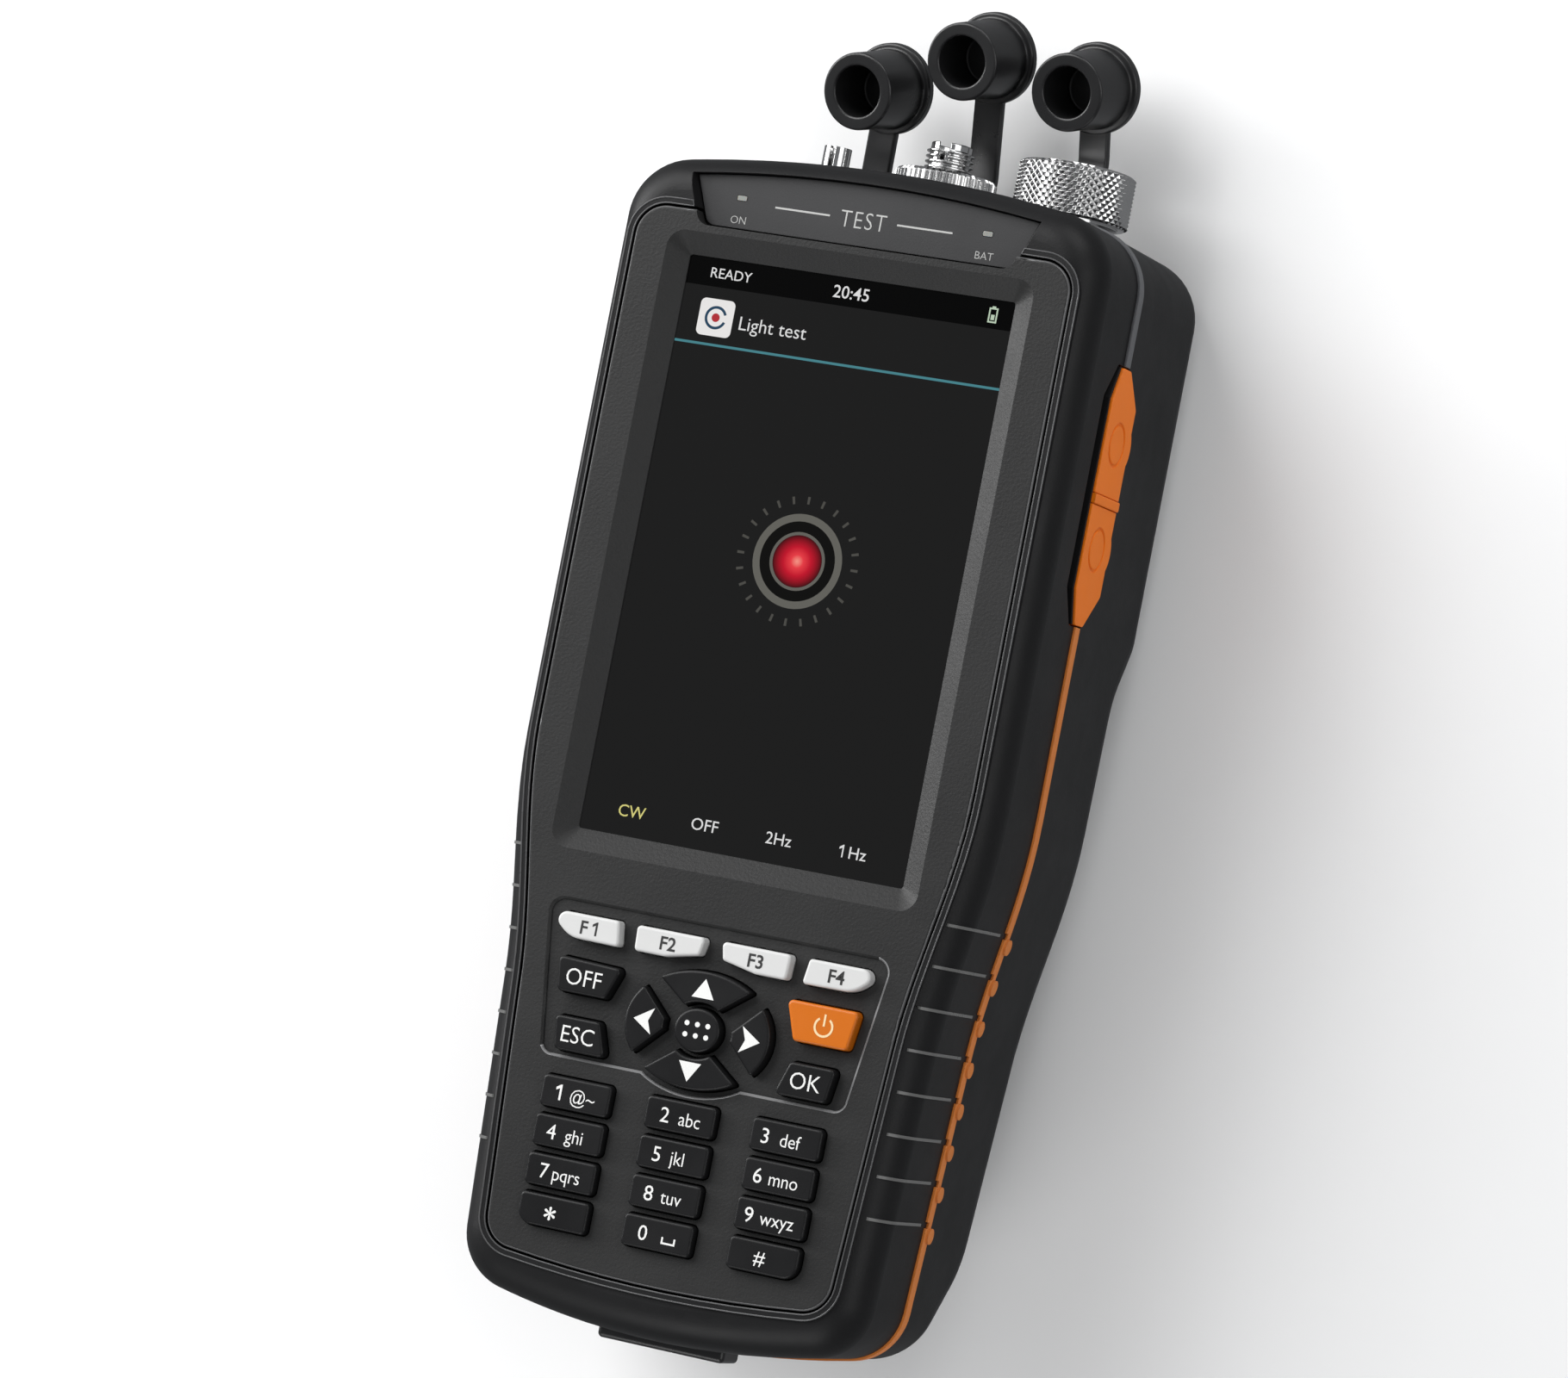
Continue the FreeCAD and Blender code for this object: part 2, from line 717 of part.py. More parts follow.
def flank_ribs():
    """Fine raised lines across both flanks, for the fingers."""
    skin = plan_solid(case_plan, -rib_proud, rib_low_z, front_z + rib_proud)
    skin = skin.makeFillet(front_edge_radius + rib_proud, edges_at(skin, front_z + rib_proud)).cut(front)
    ribs = []
    for i in range(nub_count):
        y = rib_first_y - i * nub_pitch
        slab = Part.makeBox(4 * case_half, rib_width, rib_high_z - rib_low_z,
                            Vector(-2 * case_half, y - rib_width / 2, rib_low_z))
        ribs += skin.common(slab).Solids
    return ribs


def notch_blocks(grow, low_z, high_z):
    """Small blocks across the case at the ends of the flank ribs."""
    return [Part.makeBox(4 * case_half, notch_width + 2 * grow, high_z - low_z,
                         Vector(-2 * case_half, rib_first_y - i * nub_pitch - notch_width / 2 - grow, low_z))
            for i in range(nub_count)]


# Teeth of the front shell that hold the seam trim, and the thin lip along the side cover's front edge
tooth_low_z = seam_high_z - notch_height
tooth_ring = plan_solid(case_plan, 0.0, tooth_low_z, seam_high_z + notch_height).cut(
    plan_solid(case_plan, notch_depth, tooth_low_z, seam_high_z + notch_height))
teeth = [block.common(tooth_ring) for block in notch_blocks(0.0, tooth_low_z, seam_high_z + notch_height)]
lip_block = side_outline(offset_polygon(cover_points(), cover_gap + cover_lip_width), cover_corner,
                         pocket_floor - cover_lip_root, cover_out - cover_lip_drop)
lip_block = lip_block.cut([
    side_outline(offset_polygon(cover_points(), cover_gap), cover_corner, 0.0, 2 * case_half),
    Part.makeBox(4 * case_half, 4 * case_half, case_half, Vector(0, -2 * case_half, cover_mid_z - case_half))])
cover_lip = lip_block.common(Part.makeBox(case_half, cover_top - cover_bottom, front_z,
                                          Vector(case_half / 2, cover_bottom, 0)))
front_housing = front_housing.multiFuse(flank_ribs() + teeth + [cover_lip])
save("front_housing", front_housing)
save("case_screws", [joined([
    post(x, y, screw_seat[y] - case_screw_head_height, screw_seat[y], case_screw_head),
    post(x, y, screw_seat[y] - case_screw_head_height, case_screw_top - column_root, case_screw_radius),
]) for x, y in case_screw_places])

# Seam trim between the shells: grey round the head, orange from the charge jack down the grip
trim = plan_solid(case_plan, -trim_proud, seam_low_z, seam_high_z).cut(
    plan_solid(case_plan, wall, seam_low_z, seam_high_z))
trim = trim.cut(side_cuts)
notch_ring = plan_solid(case_plan, -trim_proud - nub_proud, tooth_low_z - notch_gap, seam_high_z).cut(
    plan_solid(case_plan, notch_depth + notch_gap, tooth_low_z - notch_gap, seam_high_z))
notches = [block.common(notch_ring) for block in notch_blocks(notch_gap, tooth_low_z - notch_gap, seam_high_z)]
far = 3 * case_half
below_jack = Part.makeBox(2 * far, 2 * far, far, Vector(-far, jack_y - 2 * far, 0))
nub_skin = plan_solid(case_plan, -trim_proud - nub_proud, seam_low_z - nub_radius, seam_high_z)
nub_ring = nub_skin.cut([plan_solid(case_plan, nub_root, seam_low_z, seam_high_z),
                         plan_solid(case_plan, -nub_seat, seam_low_z - nub_radius, seam_low_z)])
nubs = []
for i in range(nub_count):
    y = nub_first_y - i * nub_pitch
    nub = Part.makeCylinder(nub_radius, 4 * case_half, Vector(-2 * case_half, y, seam_low_z),
                            Vector(1, 0, 0))
    nubs += nub.common(nub_ring).Solids
save("seam_trim", joined([trim.common(below_jack)] + nubs).cut(notches))
save("seam_band", trim.cut(below_jack))

# Front panel: sunken key island with a broken edge, bezel, key field and bosses for the board
dpad_room = ellipse_prism(dpad_half_x + island_margin, dpad_half_y + island_margin, dpad_y,
                          panel_z - island_depth, panel_z + 1)
island_points = [(-island_bottom_half, island_bottom), (island_bottom_half, island_bottom),
                 (island_top_half, island_top), (-island_top_half, island_top)]
island_corners = [island_bottom_corner, island_bottom_corner, island_top_corner, island_top_corner]
island = joined([prism(island_points, island_corners, panel_z - island_depth, panel_z + 1), dpad_room])
panel = plan_solid(panel_plan, 0.0, underside_z, panel_z)
panel = panel.makeFillet(panel_edge_radius, edges_at(panel, panel_z))
panel = panel.cut(island)
island_rim = [e for e in edges_at(panel, panel_z) if e.BoundBox.YMin > dpad_y - dpad_half_y - 2 * island_margin
              and e.BoundBox.YMax < island_top + island_margin]
panel = panel.makeChamfer(island_edge, island_rim)
bezel_low = rounded_face(box_points(screen_half_x, screen_half_y), screen_corner,
                         lambda p: Vector(p.x, p.y, screen_z + bezel_step)).OuterWire
bezel_high = rounded_face(box_points(screen_half_x + bezel_slope, screen_half_y + bezel_slope),
                          bezel_corner, lambda p: Vector(p.x, p.y, panel_z)).OuterWire
bezel = Part.makeLoft([bezel_low, bezel_high], True, True)
screen_hole = prism(box_points(screen_half_x, screen_half_y), screen_corner, underside_z - 1, panel_z)
window_points = box_points(screen_half_x + window_lap, screen_half_y + window_lap)
window_seat = prism(window_points, window_corner, underside_z - 1, screen_z, screw_fit)
key_field = plan_solid(panel_plan, panel_ledge, underside_z - 1, key_under_z).common(
    Part.makeBox(2 * far, far, far, Vector(-far, island_top + island_side - far, underside_z - 1)))

# Keys: corner points, and corner radii in the same order. Heights count down from the island's top.
key_row_width = (key_row_half - key_row_middle - key_row_gap) / 2


def under_island(points):
    """Points whose heights are measured from the island's top edge."""
    return [(x, island_top + y) for x, y in points]


def flipped(points):
    """The same outline mirrored to the other side, still anticlockwise."""
    return [(-x, y) for x, y in reversed(points)]


f1_right = -key_row_half + key_row_width
f2_left = -key_row_middle - key_row_width
f1_points = under_island([(-key_row_half + 3.2, -5.9), (f1_right, -6.0), (f1_right - 0.6, -1.9),
                          (-key_row_half + 1.8, -1.9), (-key_row_half, -3.2)])
f2_points = under_island([(f2_left + 0.2, -6.0), (f2_left + 5.5, -6.0), (-key_row_middle - 0.6, -4.8),
                          (-key_row_middle, -1.9), (f2_left, -1.9)])
off_points = under_island([(-key_row_half + 2.9, -14.5), (-16.4, -14.5), (-14.4, -9.3),
                           (-key_row_half + 2.2, -8.9)])
power_points = under_island([(16.2, -15.0), (key_row_half - 2.4, -15.0), (key_row_half - 1.5, -8.7),
                             (14.0, -8.7)])
esc_points = under_island([(-key_row_half + 4.3, -23.7), (-14.6, -23.7), (-16.5, -18.2),
                           (-key_row_half + 3.5, -18.2)])
key_shapes = {
    "key_f1": (f1_points, [5.0, 0.6, 0.6, 1.6, 1.3]),
    "key_f2": (f2_points, [0.7, 0.8, 0.6, 0.7, 0.7]),
    "key_f3": (flipped(f2_points), [0.7, 0.7, 0.6, 0.8, 0.7]),
    "key_f4": (flipped(f1_points), [1.3, 1.6, 0.6, 0.6, 5.0]),
    "key_off": (off_points, key_corner),
    "key_power": (power_points, key_corner),
    "key_esc": (esc_points, key_corner),
    "key_ok": (flipped(esc_points), key_corner),
}
number_names = [["1", "2", "3"], ["4", "5", "6"], ["7", "8", "9"], ["star", "0", "hash"]]
for row, names in enumerate(number_names):
    for column, name in enumerate(names):
        radii = [key_corner] * 4
        if name == "star":
            radii[0] = number_corner
        if name == "hash":
            radii[1] = number_corner
        points = box_points(number_key_width / 2, number_key_height / 2, number_row_y - row * number_key_pitch,
                            (column - 1) * number_column)
        key_shapes["key_" + name] = (points, radii)


def dpad_wedge(direction, grow, z0, z1):
    """One arrow key: a ring sector of the ellipse between two slanted sides."""
    outer = ellipse_prism(dpad_half_x + grow, dpad_half_y + grow, dpad_y, z0, z1)
    hub_x = dpad_hub_x if direction in ("up", "down") else dpad_side_hub_x
    hub = ellipse_prism(hub_x - grow, dpad_hub_y - grow, dpad_y, z0, z1)
    if direction in ("up", "down"):
        points = [(0.0, 1.34), (9.9, 8.8), (9.9, 14.0), (-9.9, 14.0), (-9.9, 8.8)]
    else:
        points = [(4.9, 0.0), (13.6, -8.7), (16.0, -8.7), (16.0, 8.7), (13.6, 8.7)]
    if direction in ("down", "left"):
        points = [(-x, -y) for x, y in points]
    points = [(x, y + dpad_y) for x, y in points]
    return prism(points, 0.0, z0, z1, grow).common(outer).cut(hub)


def key_body(name, grow, z0, z1):
    """Straight-sided prism of one key's outline."""
    if name == "key_menu":
        return ellipse_prism(menu_half_x + grow, menu_half_y + grow, dpad_y, z0, z1)
    if name in key_shapes:
        return prism(*key_shapes[name], z0, z1, grow)
    wedge = dpad_wedge(name[4:], grow, z0, z1)
    upright = [e for e in wedge.Edges if e.BoundBox.ZLength > 0.5 * (z1 - z0)]
    return wedge.makeFillet(dpad_corner, upright)


key_names = list(key_shapes) + ["key_up", "key_down", "key_left", "key_right", "key_menu"]
lip_top_z = key_under_z - key_lip_gap
key_bottom_z = lip_top_z - key_lip_thickness
apertures = [key_body(name, key_gap, underside_z - 1, panel_z + 1) for name in key_names]
board_places = [(side * board_boss_x, y) for side in (1, -1) for y in (board_boss_y, -board_boss_y)]
plate_notch = prism(plate_points, plate_corners, underside_z - 1, panel_z + 1, panel_gap)
panel = panel.cut([bezel, screen_hole, window_seat, key_field, plate_notch] + apertures)
panel = panel.multiFuse([post(x, y, board_z + board_thickness, underside_z + column_root, board_boss_radius)
                         for x, y in board_places])
save("front_panel", panel)
for name in key_names:
    cap = key_body(name, 0.0, key_bottom_z + key_lip_overlap, key_top_z)
    cap = cap.makeFillet(key_top_radius, edges_at(cap, key_top_z))
    lip = key_body(name, key_lip, key_bottom_z, lip_top_z)
    save(name, joined([cap, lip]))

# Screen window and display module behind it
save("display_window", prism(window_points, window_corner, window_z, screen_z))
module_points = box_points(screen_half_x + module_lap, screen_half_y + module_lap)
save("display_module", prism(module_points, 0.0, module_z, window_z))

# Main board, keypad mat and light pipes
board = plan_solid(case_plan, wall + board_clearance, board_z, board_z + board_thickness)
column_room = [post(x, y, seam_high_z, panel_z, case_screw_column + board_clearance)
               for x, y in case_screw_places]
save("main_board", board.cut(column_room))
mat_top_z = key_bottom_z - key_travel_room
mat = plan_solid(panel_plan, panel_ledge + board_clearance, board_z + board_thickness, mat_top_z).common(
    Part.makeBox(2 * far, far, far, Vector(-far, island_top - far, 0)))
save("keypad_mat", mat.cut(column_room))
save("nameplate", prism(plate_points, plate_corners, plate_low_z, screen_z).common(
    plan_solid(case_plan, plate_top_inset, plate_low_z, screen_z)).cut(
    [prism(points, light_corner, plate_low_z, screen_z, screw_fit) for points in light_points]))
save("led_light_pipes", [prism(points, light_corner, board_z + board_thickness, screen_z + light_proud)
                         for points in light_points])

# Side cover: fixed rib in the middle and a flap on each side of it, with a ring pressed into each flap
# for the fingertip
cover = side_outline(cover_points(), cover_corner, cover_in, cover_out)
rings = []
for tab_y in tab_ys:
    cover = cover.fuse(Part.makeCylinder(tab_radius, cover_thickness, Vector(cover_in, tab_y, tab_z),
                                         Vector(1, 0, 0)))
    ring_base = Vector(cover_out - grip_ring_depth, tab_y, socket_z)
    ring = Part.makeCylinder(grip_ring_radius, wall, ring_base, Vector(1, 0, 0))
    rings.append(ring.cut(Part.makeCylinder(grip_ring_radius - grip_ring_width, wall, ring_base,
                                            Vector(1, 0, 0))))
cover = cover.removeSplitter().cut(rings)
spine_low = cover_spine_y - cover_spine_width / 2
spine_high = cover_spine_y + cover_spine_width / 2
slabs = {
    "port_cover_upper": (spine_high + cover_hinge_gap, cover_top + wall),
    "port_cover_lower": (cover_bottom - wall, spine_low - cover_hinge_gap),
}
for name, (low, high) in slabs.items():
    save(name, cover.common(Part.makeBox(far, high - low, far, Vector(0, low, 0))))
spine = side_outline(flank_points(spine_low, spine_high, cover_low_z, cover_high_z), 0.0, pocket_floor,
                     cover_out + cover_spine_proud)
crest = [e for e in edges_along_z(spine) if e.Vertexes[0].X > cover_out]
save("port_cover_spine", spine.makeFillet(cover_spine_proud, crest))

# Side sockets behind the flaps
usb_outer = side_outline(flank_points(usb_y - usb_width / 2, usb_y + usb_width / 2,
                                      socket_z - usb_height / 2, socket_z + usb_height / 2), usb_corner,
                         pocket_floor - socket_length, pocket_floor - socket_fit)
usb_inner = side_outline(flank_points(usb_y - usb_width / 2 + socket_shell,
                                      usb_y + usb_width / 2 - socket_shell,
                                      socket_z - usb_height / 2 + socket_shell,
                                      socket_z + usb_height / 2 - socket_shell), usb_corner - socket_shell,
                         pocket_floor - socket_length + socket_floor, pocket_floor)
tongue = Part.makeBox(socket_length - 2 * socket_floor, usb_width / 2, 2 * socket_shell,
                      Vector(pocket_floor - socket_length + socket_shell, usb_y - usb_width / 4,
                             socket_z - socket_shell))
save("usb_socket", joined([usb_outer.cut(usb_inner), tongue]))
jack_x = pocket_floor - jack_length
jack = Part.makeCylinder(jack_radius, jack_length - socket_fit, Vector(jack_x, jack_y, socket_z),
                         Vector(1, 0, 0))
jack = jack.cut(Part.makeCylinder(jack_bore, jack_length, Vector(jack_x + 2 * socket_floor, jack_y, socket_z),
                                  Vector(1, 0, 0)))
jack = jack.fuse(Part.makeCylinder(jack_pin, jack_length - 3 * socket_floor,
                                   Vector(jack_x + socket_floor, jack_y, socket_z), Vector(1, 0, 0)))
save("charge_jack", jack)

# Bottom cover and the host socket behind it
bottom_cover = Part.makeBox(2 * bottom_cover_half, bottom_cover_thickness, 2 * bottom_cover_half_height,
                            Vector(-bottom_cover_half, case_bottom - bottom_cover_proud,
                                   host_z - bottom_cover_half_height))
bottom_cover = bottom_cover.makeFillet(
    bottom_cover_radius, [e for e in bottom_cover.Edges
                          if e.BoundBox.YLength > 1 or e.BoundBox.YMax < case_bottom])
save("bottom_cover", bottom_cover)
host_y = cover_seat_y + cover_floor_gap + host_standoff
host_low_z = host_z - host_height / 2
host = Part.makeBox(2 * host_half_x, host_length, host_height, Vector(-host_half_x, host_y, host_low_z))
host = host.cut(Part.makeBox(2 * (host_half_x - socket_shell), host_length, host_height - 2 * socket_shell,
                             Vector(-host_half_x + socket_shell, host_y - socket_floor,
                                    host_low_z + socket_shell)))
tongue_half = host_half_x - host_tongue_side
host = host.fuse(Part.makeBox(2 * tongue_half, host_length - socket_floor, 3 * socket_shell,
                              Vector(-tongue_half, host_y + socket_floor, host_z + socket_shell)))
save("host_socket", host)

# Battery pack in the grip and the optical module in the head
battery_low_y = door_low_y + battery_margin
battery_high_y = door_high_y - battery_margin
battery_z = back_level(battery_low_y) + wall + cover_gap
save("battery_pack", prism(box_points(door_half - door_lap - battery_side, (battery_high_y - battery_low_y) / 2,
                                      (battery_low_y + battery_high_y) / 2), battery_corner,
                           battery_z, battery_z + battery_depth))
optics_high_y = inner_face_y(vfl_x) - port_body_depth - laser_length - optics_gap
save("optics_module", prism(box_points(optics_half_x, optics_length / 2, optics_high_y - optics_length / 2),
                            1.0, back_z + wall, back_z + wall + optics_depth))


# Optical ports on the head end

def port_base(x, neck_top):
    """Housing of a port inside the case, with its neck through the end wall."""
    inner = port_turn(x, inner_face_y(x) - port_body_depth, inner_face_y(x) - ring_fit, port_body_radius)
    neck = port_turn(x, inner_face_y(x) - column_root, neck_top, port_neck_radius)
    return joined([inner, neck])


bore_low = case_top - wall - ferrule_depth
beyond_ports = 2 * case_top
vfl_seat = seat_y(vfl_x, port_neck_radius)
vfl_top = vfl_seat + vfl_height
vfl = joined([port_base(vfl_x, vfl_seat), port_turn(vfl_x, vfl_seat, vfl_seat + vfl_base_height, vfl_base_radius),
              port_turn(vfl_x, vfl_seat, vfl_top, vfl_radius)])
vfl = vfl.cut([port_turn(vfl_x, bore_low, beyond_ports, ferrule_bore),
               Part.makeBox(vfl_slot_width, 2 * vfl_slot_length, vfl_radius * 2,
                            Vector(vfl_x - vfl_slot_width / 2, vfl_top - vfl_slot_length, port_z))])
save("vfl_port", vfl)
laser_y = inner_face_y(vfl_x) - port_body_depth
save("vfl_laser", port_turn(vfl_x, laser_y - laser_length, laser_y, laser_radius))

fc_seat = seat_y(fc_x, fc_ring_radius) + ring_lift
fc_ring_top = fc_seat + ring_lift + fc_ring_height
fc_thread_low = fc_ring_top + 0.2
fc_top = fc_thread_low + fc_thread_length
fc = joined([port_base(fc_x, fc_seat), port_turn(fc_x, fc_seat - 1, fc_thread_low, fc_shank_radius),
             port_turn(fc_x, fc_seat, fc_top, fc_thread_radius)])
fc = fc.cut([port_turn(fc_x, fc_seat + 1.0, beyond_ports, fc_throat_radius),
             Part.makeBox(fc_key_width, 2 * fc_key_length, fc_thread_radius * 2,
                          Vector(fc_x - fc_key_width / 2, fc_top - fc_key_length, port_z))])
fc_sleeve_top = fc_top - fc_sleeve_drop
fc = fc.fuse(port_turn(fc_x, fc_seat, fc_sleeve_top, fc_sleeve_radius))
save("fc_adapter", fc.cut(port_turn(fc_x, bore_low, beyond_ports, ferrule_bore)))
save("fc_ring", port_turn(fc_x, fc_seat + ring_lift, fc_ring_top, fc_ring_radius).cut(
    port_turn(fc_x, fc_seat, fc_top, fc_shank_radius + ring_fit)))

meter_seat = seat_y(meter_x, meter_ring_radius) + ring_lift
meter_ring_top = meter_seat + ring_lift + meter_ring_height
meter_nose_top = meter_ring_top - meter_ring_roof - ring_fit
meter = joined([port_base(meter_x, meter_seat),
                port_turn(meter_x, meter_seat, meter_nose_top, meter_nose_radius)])
save("meter_port", meter.cut(port_turn(meter_x, meter_nose_top - ferrule_depth, beyond_ports,
                                       meter_window_radius)))
meter_ring = port_turn(meter_x, meter_seat + ring_lift, meter_ring_top, meter_ring_radius)
meter_ring = meter_ring.makeFillet(meter_ring_edge, [e for e in meter_ring.Edges
                                                     if e.BoundBox.YLength < 1e-4])
save("meter_adapter", meter_ring.cut([
    port_turn(meter_x, meter_seat, meter_nose_top + ring_fit, meter_nose_radius + ring_fit),
    port_turn(meter_x, meter_seat, beyond_ports, ferrule_bore)]))
for name, low, high in (("vfl bore", bore_low, vfl_top), ("fc bore", bore_low, fc_sleeve_top),
                        ("fc thread", fc_thread_low, fc_top),
                        ("meter bore", meter_ring_top - meter_ring_roof, meter_ring_top)):
    print(name, "from", round(low - back_face_y, 5), "to", round(high - back_face_y, 5))

# Dust caps on their straps, and the anchors that hold the straps in the case
x_axis, y_axis, z_axis = Vector(1, 0, 0), Vector(0, 1, 0), Vector(0, 0, 1)
anchors = []
for name, cap in caps.items():
    x = cap["x"]
    top = seat_y(x, anchor_half_x)
    anchor = Part.makeBox(2 * anchor_half_x, anchor_height, 2 * anchor_half_z,
                          Vector(x - anchor_half_x, top + screw_fit, strap_z - anchor_half_z))
    stem = port_turn(x, top - wall, top + anchor_height / 2, anchor_stem, strap_z)
    anchors.append(joined([anchor, stem]))
    dip = strap_width / 2 * math.sin(math.radians(abs(cap["lean"])))
    pivot = Vector(x, top + anchor_height + strap_gap + dip + screw_fit + strap_thickness / 2, strap_z)
    round_end = Part.makeCylinder(strap_thickness / 2, strap_width, pivot - Vector(strap_width / 2, 0, 0),
                                  x_axis)
    upright = Part.makeBox(strap_width, cap["upright"], strap_thickness,
                           pivot - Vector(strap_width / 2, 0, strap_thickness / 2))
    knee = pivot + Vector(0, cap["upright"], 0)
    bend = Part.makeCylinder(strap_thickness / 2, strap_width, knee - Vector(strap_width / 2, 0, 0), x_axis)
    run = cap["reach"] - cap["upright"]
    strap = Part.makeBox(strap_width, run, strap_thickness,
                         knee - Vector(strap_width / 2, 0, strap_thickness / 2))
    hub = knee + Vector(0, run, 0)
    disc = Part.makeCylinder(cap_disc_radius, cap_disc_thickness,
                             hub - Vector(0, 0, cap_disc_thickness / 2), z_axis)
    barrel = Part.makeCylinder(cap_barrel_radius, cap_length, hub, z_axis)
    head = joined([strap, disc, barrel])
    head = head.cut(Part.makeCylinder(cap_bore_radius, cap_length,
                                      hub + Vector(0, 0, cap_length - cap_bore_depth), z_axis))
    head.rotate(knee, x_axis, cap_tilt)
    whole = joined([round_end, upright, bend, head])
    whole.rotate(pivot, y_axis, cap_yaw)
    whole.rotate(pivot, z_axis, -cap["lean"])
    spot = Part.Vertex(hub + Vector(0, 0, cap_length - cap_bore_depth / 2))
    spot.rotate(knee, x_axis, cap_tilt)
    spot.rotate(pivot, y_axis, cap_yaw)
    spot.rotate(pivot, z_axis, -cap["lean"])
    print(name, "pivot", pivot + frame_move, "bore middle", spot.Point + frame_move)
    save(name, whole)
save("cap_anchors", anchors)
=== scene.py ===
"""Handheld fibre-optic reflectometer, dressed in the order in which it is put together."""
import json
import math

import bmesh
import bpy
from mathutils import Matrix, Vector

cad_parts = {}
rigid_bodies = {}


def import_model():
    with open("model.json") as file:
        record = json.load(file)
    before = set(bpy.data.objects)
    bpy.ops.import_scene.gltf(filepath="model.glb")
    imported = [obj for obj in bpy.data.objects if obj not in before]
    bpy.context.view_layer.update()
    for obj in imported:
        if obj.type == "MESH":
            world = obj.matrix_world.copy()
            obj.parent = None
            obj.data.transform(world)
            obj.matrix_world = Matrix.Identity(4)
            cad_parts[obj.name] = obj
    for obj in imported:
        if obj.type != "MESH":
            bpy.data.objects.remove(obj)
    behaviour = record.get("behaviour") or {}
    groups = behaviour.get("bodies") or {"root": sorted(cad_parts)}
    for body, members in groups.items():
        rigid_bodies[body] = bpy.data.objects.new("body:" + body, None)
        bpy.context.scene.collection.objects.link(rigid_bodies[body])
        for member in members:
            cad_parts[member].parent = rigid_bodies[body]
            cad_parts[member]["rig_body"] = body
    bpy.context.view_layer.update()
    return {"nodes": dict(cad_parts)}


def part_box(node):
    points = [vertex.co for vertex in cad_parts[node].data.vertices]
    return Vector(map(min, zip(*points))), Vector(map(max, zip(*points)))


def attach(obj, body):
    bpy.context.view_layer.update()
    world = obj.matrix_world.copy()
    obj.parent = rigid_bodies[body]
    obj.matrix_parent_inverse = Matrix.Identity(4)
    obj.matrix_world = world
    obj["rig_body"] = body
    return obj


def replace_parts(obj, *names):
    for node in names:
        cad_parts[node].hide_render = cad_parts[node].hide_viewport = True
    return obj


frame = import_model()


# Back shell
# The deep rear half of the case: black glass-filled ABS, injection moulded against a fine spark
# eroded texture. The battery door in its grip is moulded of the same plastic.
MM = 0.001
CLOUD_WIDTH = 18 * MM
SHELL_GRAIN = 0.30 * MM


def linear(hex_colour, shade=1.0):
    """Linear RGBA of an sRGB hex colour, made lighter or darker by shade."""
    channels = [int(hex_colour[i:i + 2], 16) / 255 for i in (1, 3, 5)]
    return [shade * (c / 12.92 if c <= 0.04045 else ((c + 0.055) / 1.055) ** 2.4) for c in channels] + [1.0]


def add_node(tree, kind, inputs=None, **settings):
    """One shader node with its settings, its input values and its links."""
    made = tree.nodes.new(kind)
    for name, value in settings.items():
        setattr(made, name, value)
    for name, value in (inputs or {}).items():
        if isinstance(value, bpy.types.NodeSocket):
            tree.links.new(value, made.inputs[name])
        else:
            made.inputs[name].default_value = value
    return made


def new_surface(name, **values):
    """A material with one principled shader, whose plain values are set on its own sockets."""
    material = bpy.data.materials.new(name)
    material.use_nodes = True
    shader = material.node_tree.nodes["Principled BSDF"]
    for socket, value in values.items():
        shader.inputs[socket.replace("_", " ")].default_value = value
    return material, material.node_tree, shader


def grained_surface(name, colour, roughness, grain, depth, mottle=0.1, edge=0.2 * MM, **values):
    """Moulded, cast or printed skin: fine grain in the height, faint clouds in colour and sheen, and
    edges broken by the given radius."""
    material, tree, shader = new_surface(name, Roughness=roughness, **values)
    place = add_node(tree, "ShaderNodeTexCoord").outputs["Object"]
    pits = add_node(tree, "ShaderNodeTexNoise",
                    {"Vector": place, "Scale": 1 / grain, "Detail": 3.0, "Roughness": 0.55})
    broken_edge = add_node(tree, "ShaderNodeBevel", {"Radius": edge}, samples=4)
    bump = add_node(tree, "ShaderNodeBump", {"Height": pits.outputs["Fac"], "Distance": depth,
                                             "Normal": broken_edge.outputs["Normal"]})
    tree.links.new(bump.outputs["Normal"], shader.inputs["Normal"])
    cloud = add_node(tree, "ShaderNodeTexNoise",
                     {"Vector": place, "Scale": 1 / CLOUD_WIDTH, "Detail": 5.0, "Roughness": 0.65})
    tint = add_node(tree, "ShaderNodeMix", {"Factor": cloud.outputs["Fac"], "A": linear(colour, 1 - mottle),
                                            "B": linear(colour, 1 + mottle)}, data_type="RGBA")
    tree.links.new(tint.outputs["Result"], shader.inputs["Base Color"])
    rub = add_node(tree, "ShaderNodeMapRange",
                   {"Value": cloud.outputs["Fac"], "From Min": 0.3, "From Max": 0.7,
                    "To Min": roughness - 0.05, "To Max": roughness + 0.06})
    tree.links.new(rub.outputs["Result"], shader.inputs["Roughness"])
    return material


def dress(node, material):
    """Gives a CAD piece that keeps its own shape its material."""
    surfaces = frame["nodes"][node].data.materials
    surfaces.clear()
    surfaces.append(material)


# The spark texture leaves a dull black whose sheen is broken up and dim. Its grain is drawn at 0.3 mm,
# coarser than the real one, so that it shows.
shell_plastic = grained_surface("abs_spark_textured_black", "#171718", 0.44, SHELL_GRAIN, 0.022 * MM,
                                mottle=0.14, IOR=1.53, Specular_IOR_Level=0.2)
dress("rear_housing", shell_plastic)
dress("battery_door", shell_plastic)


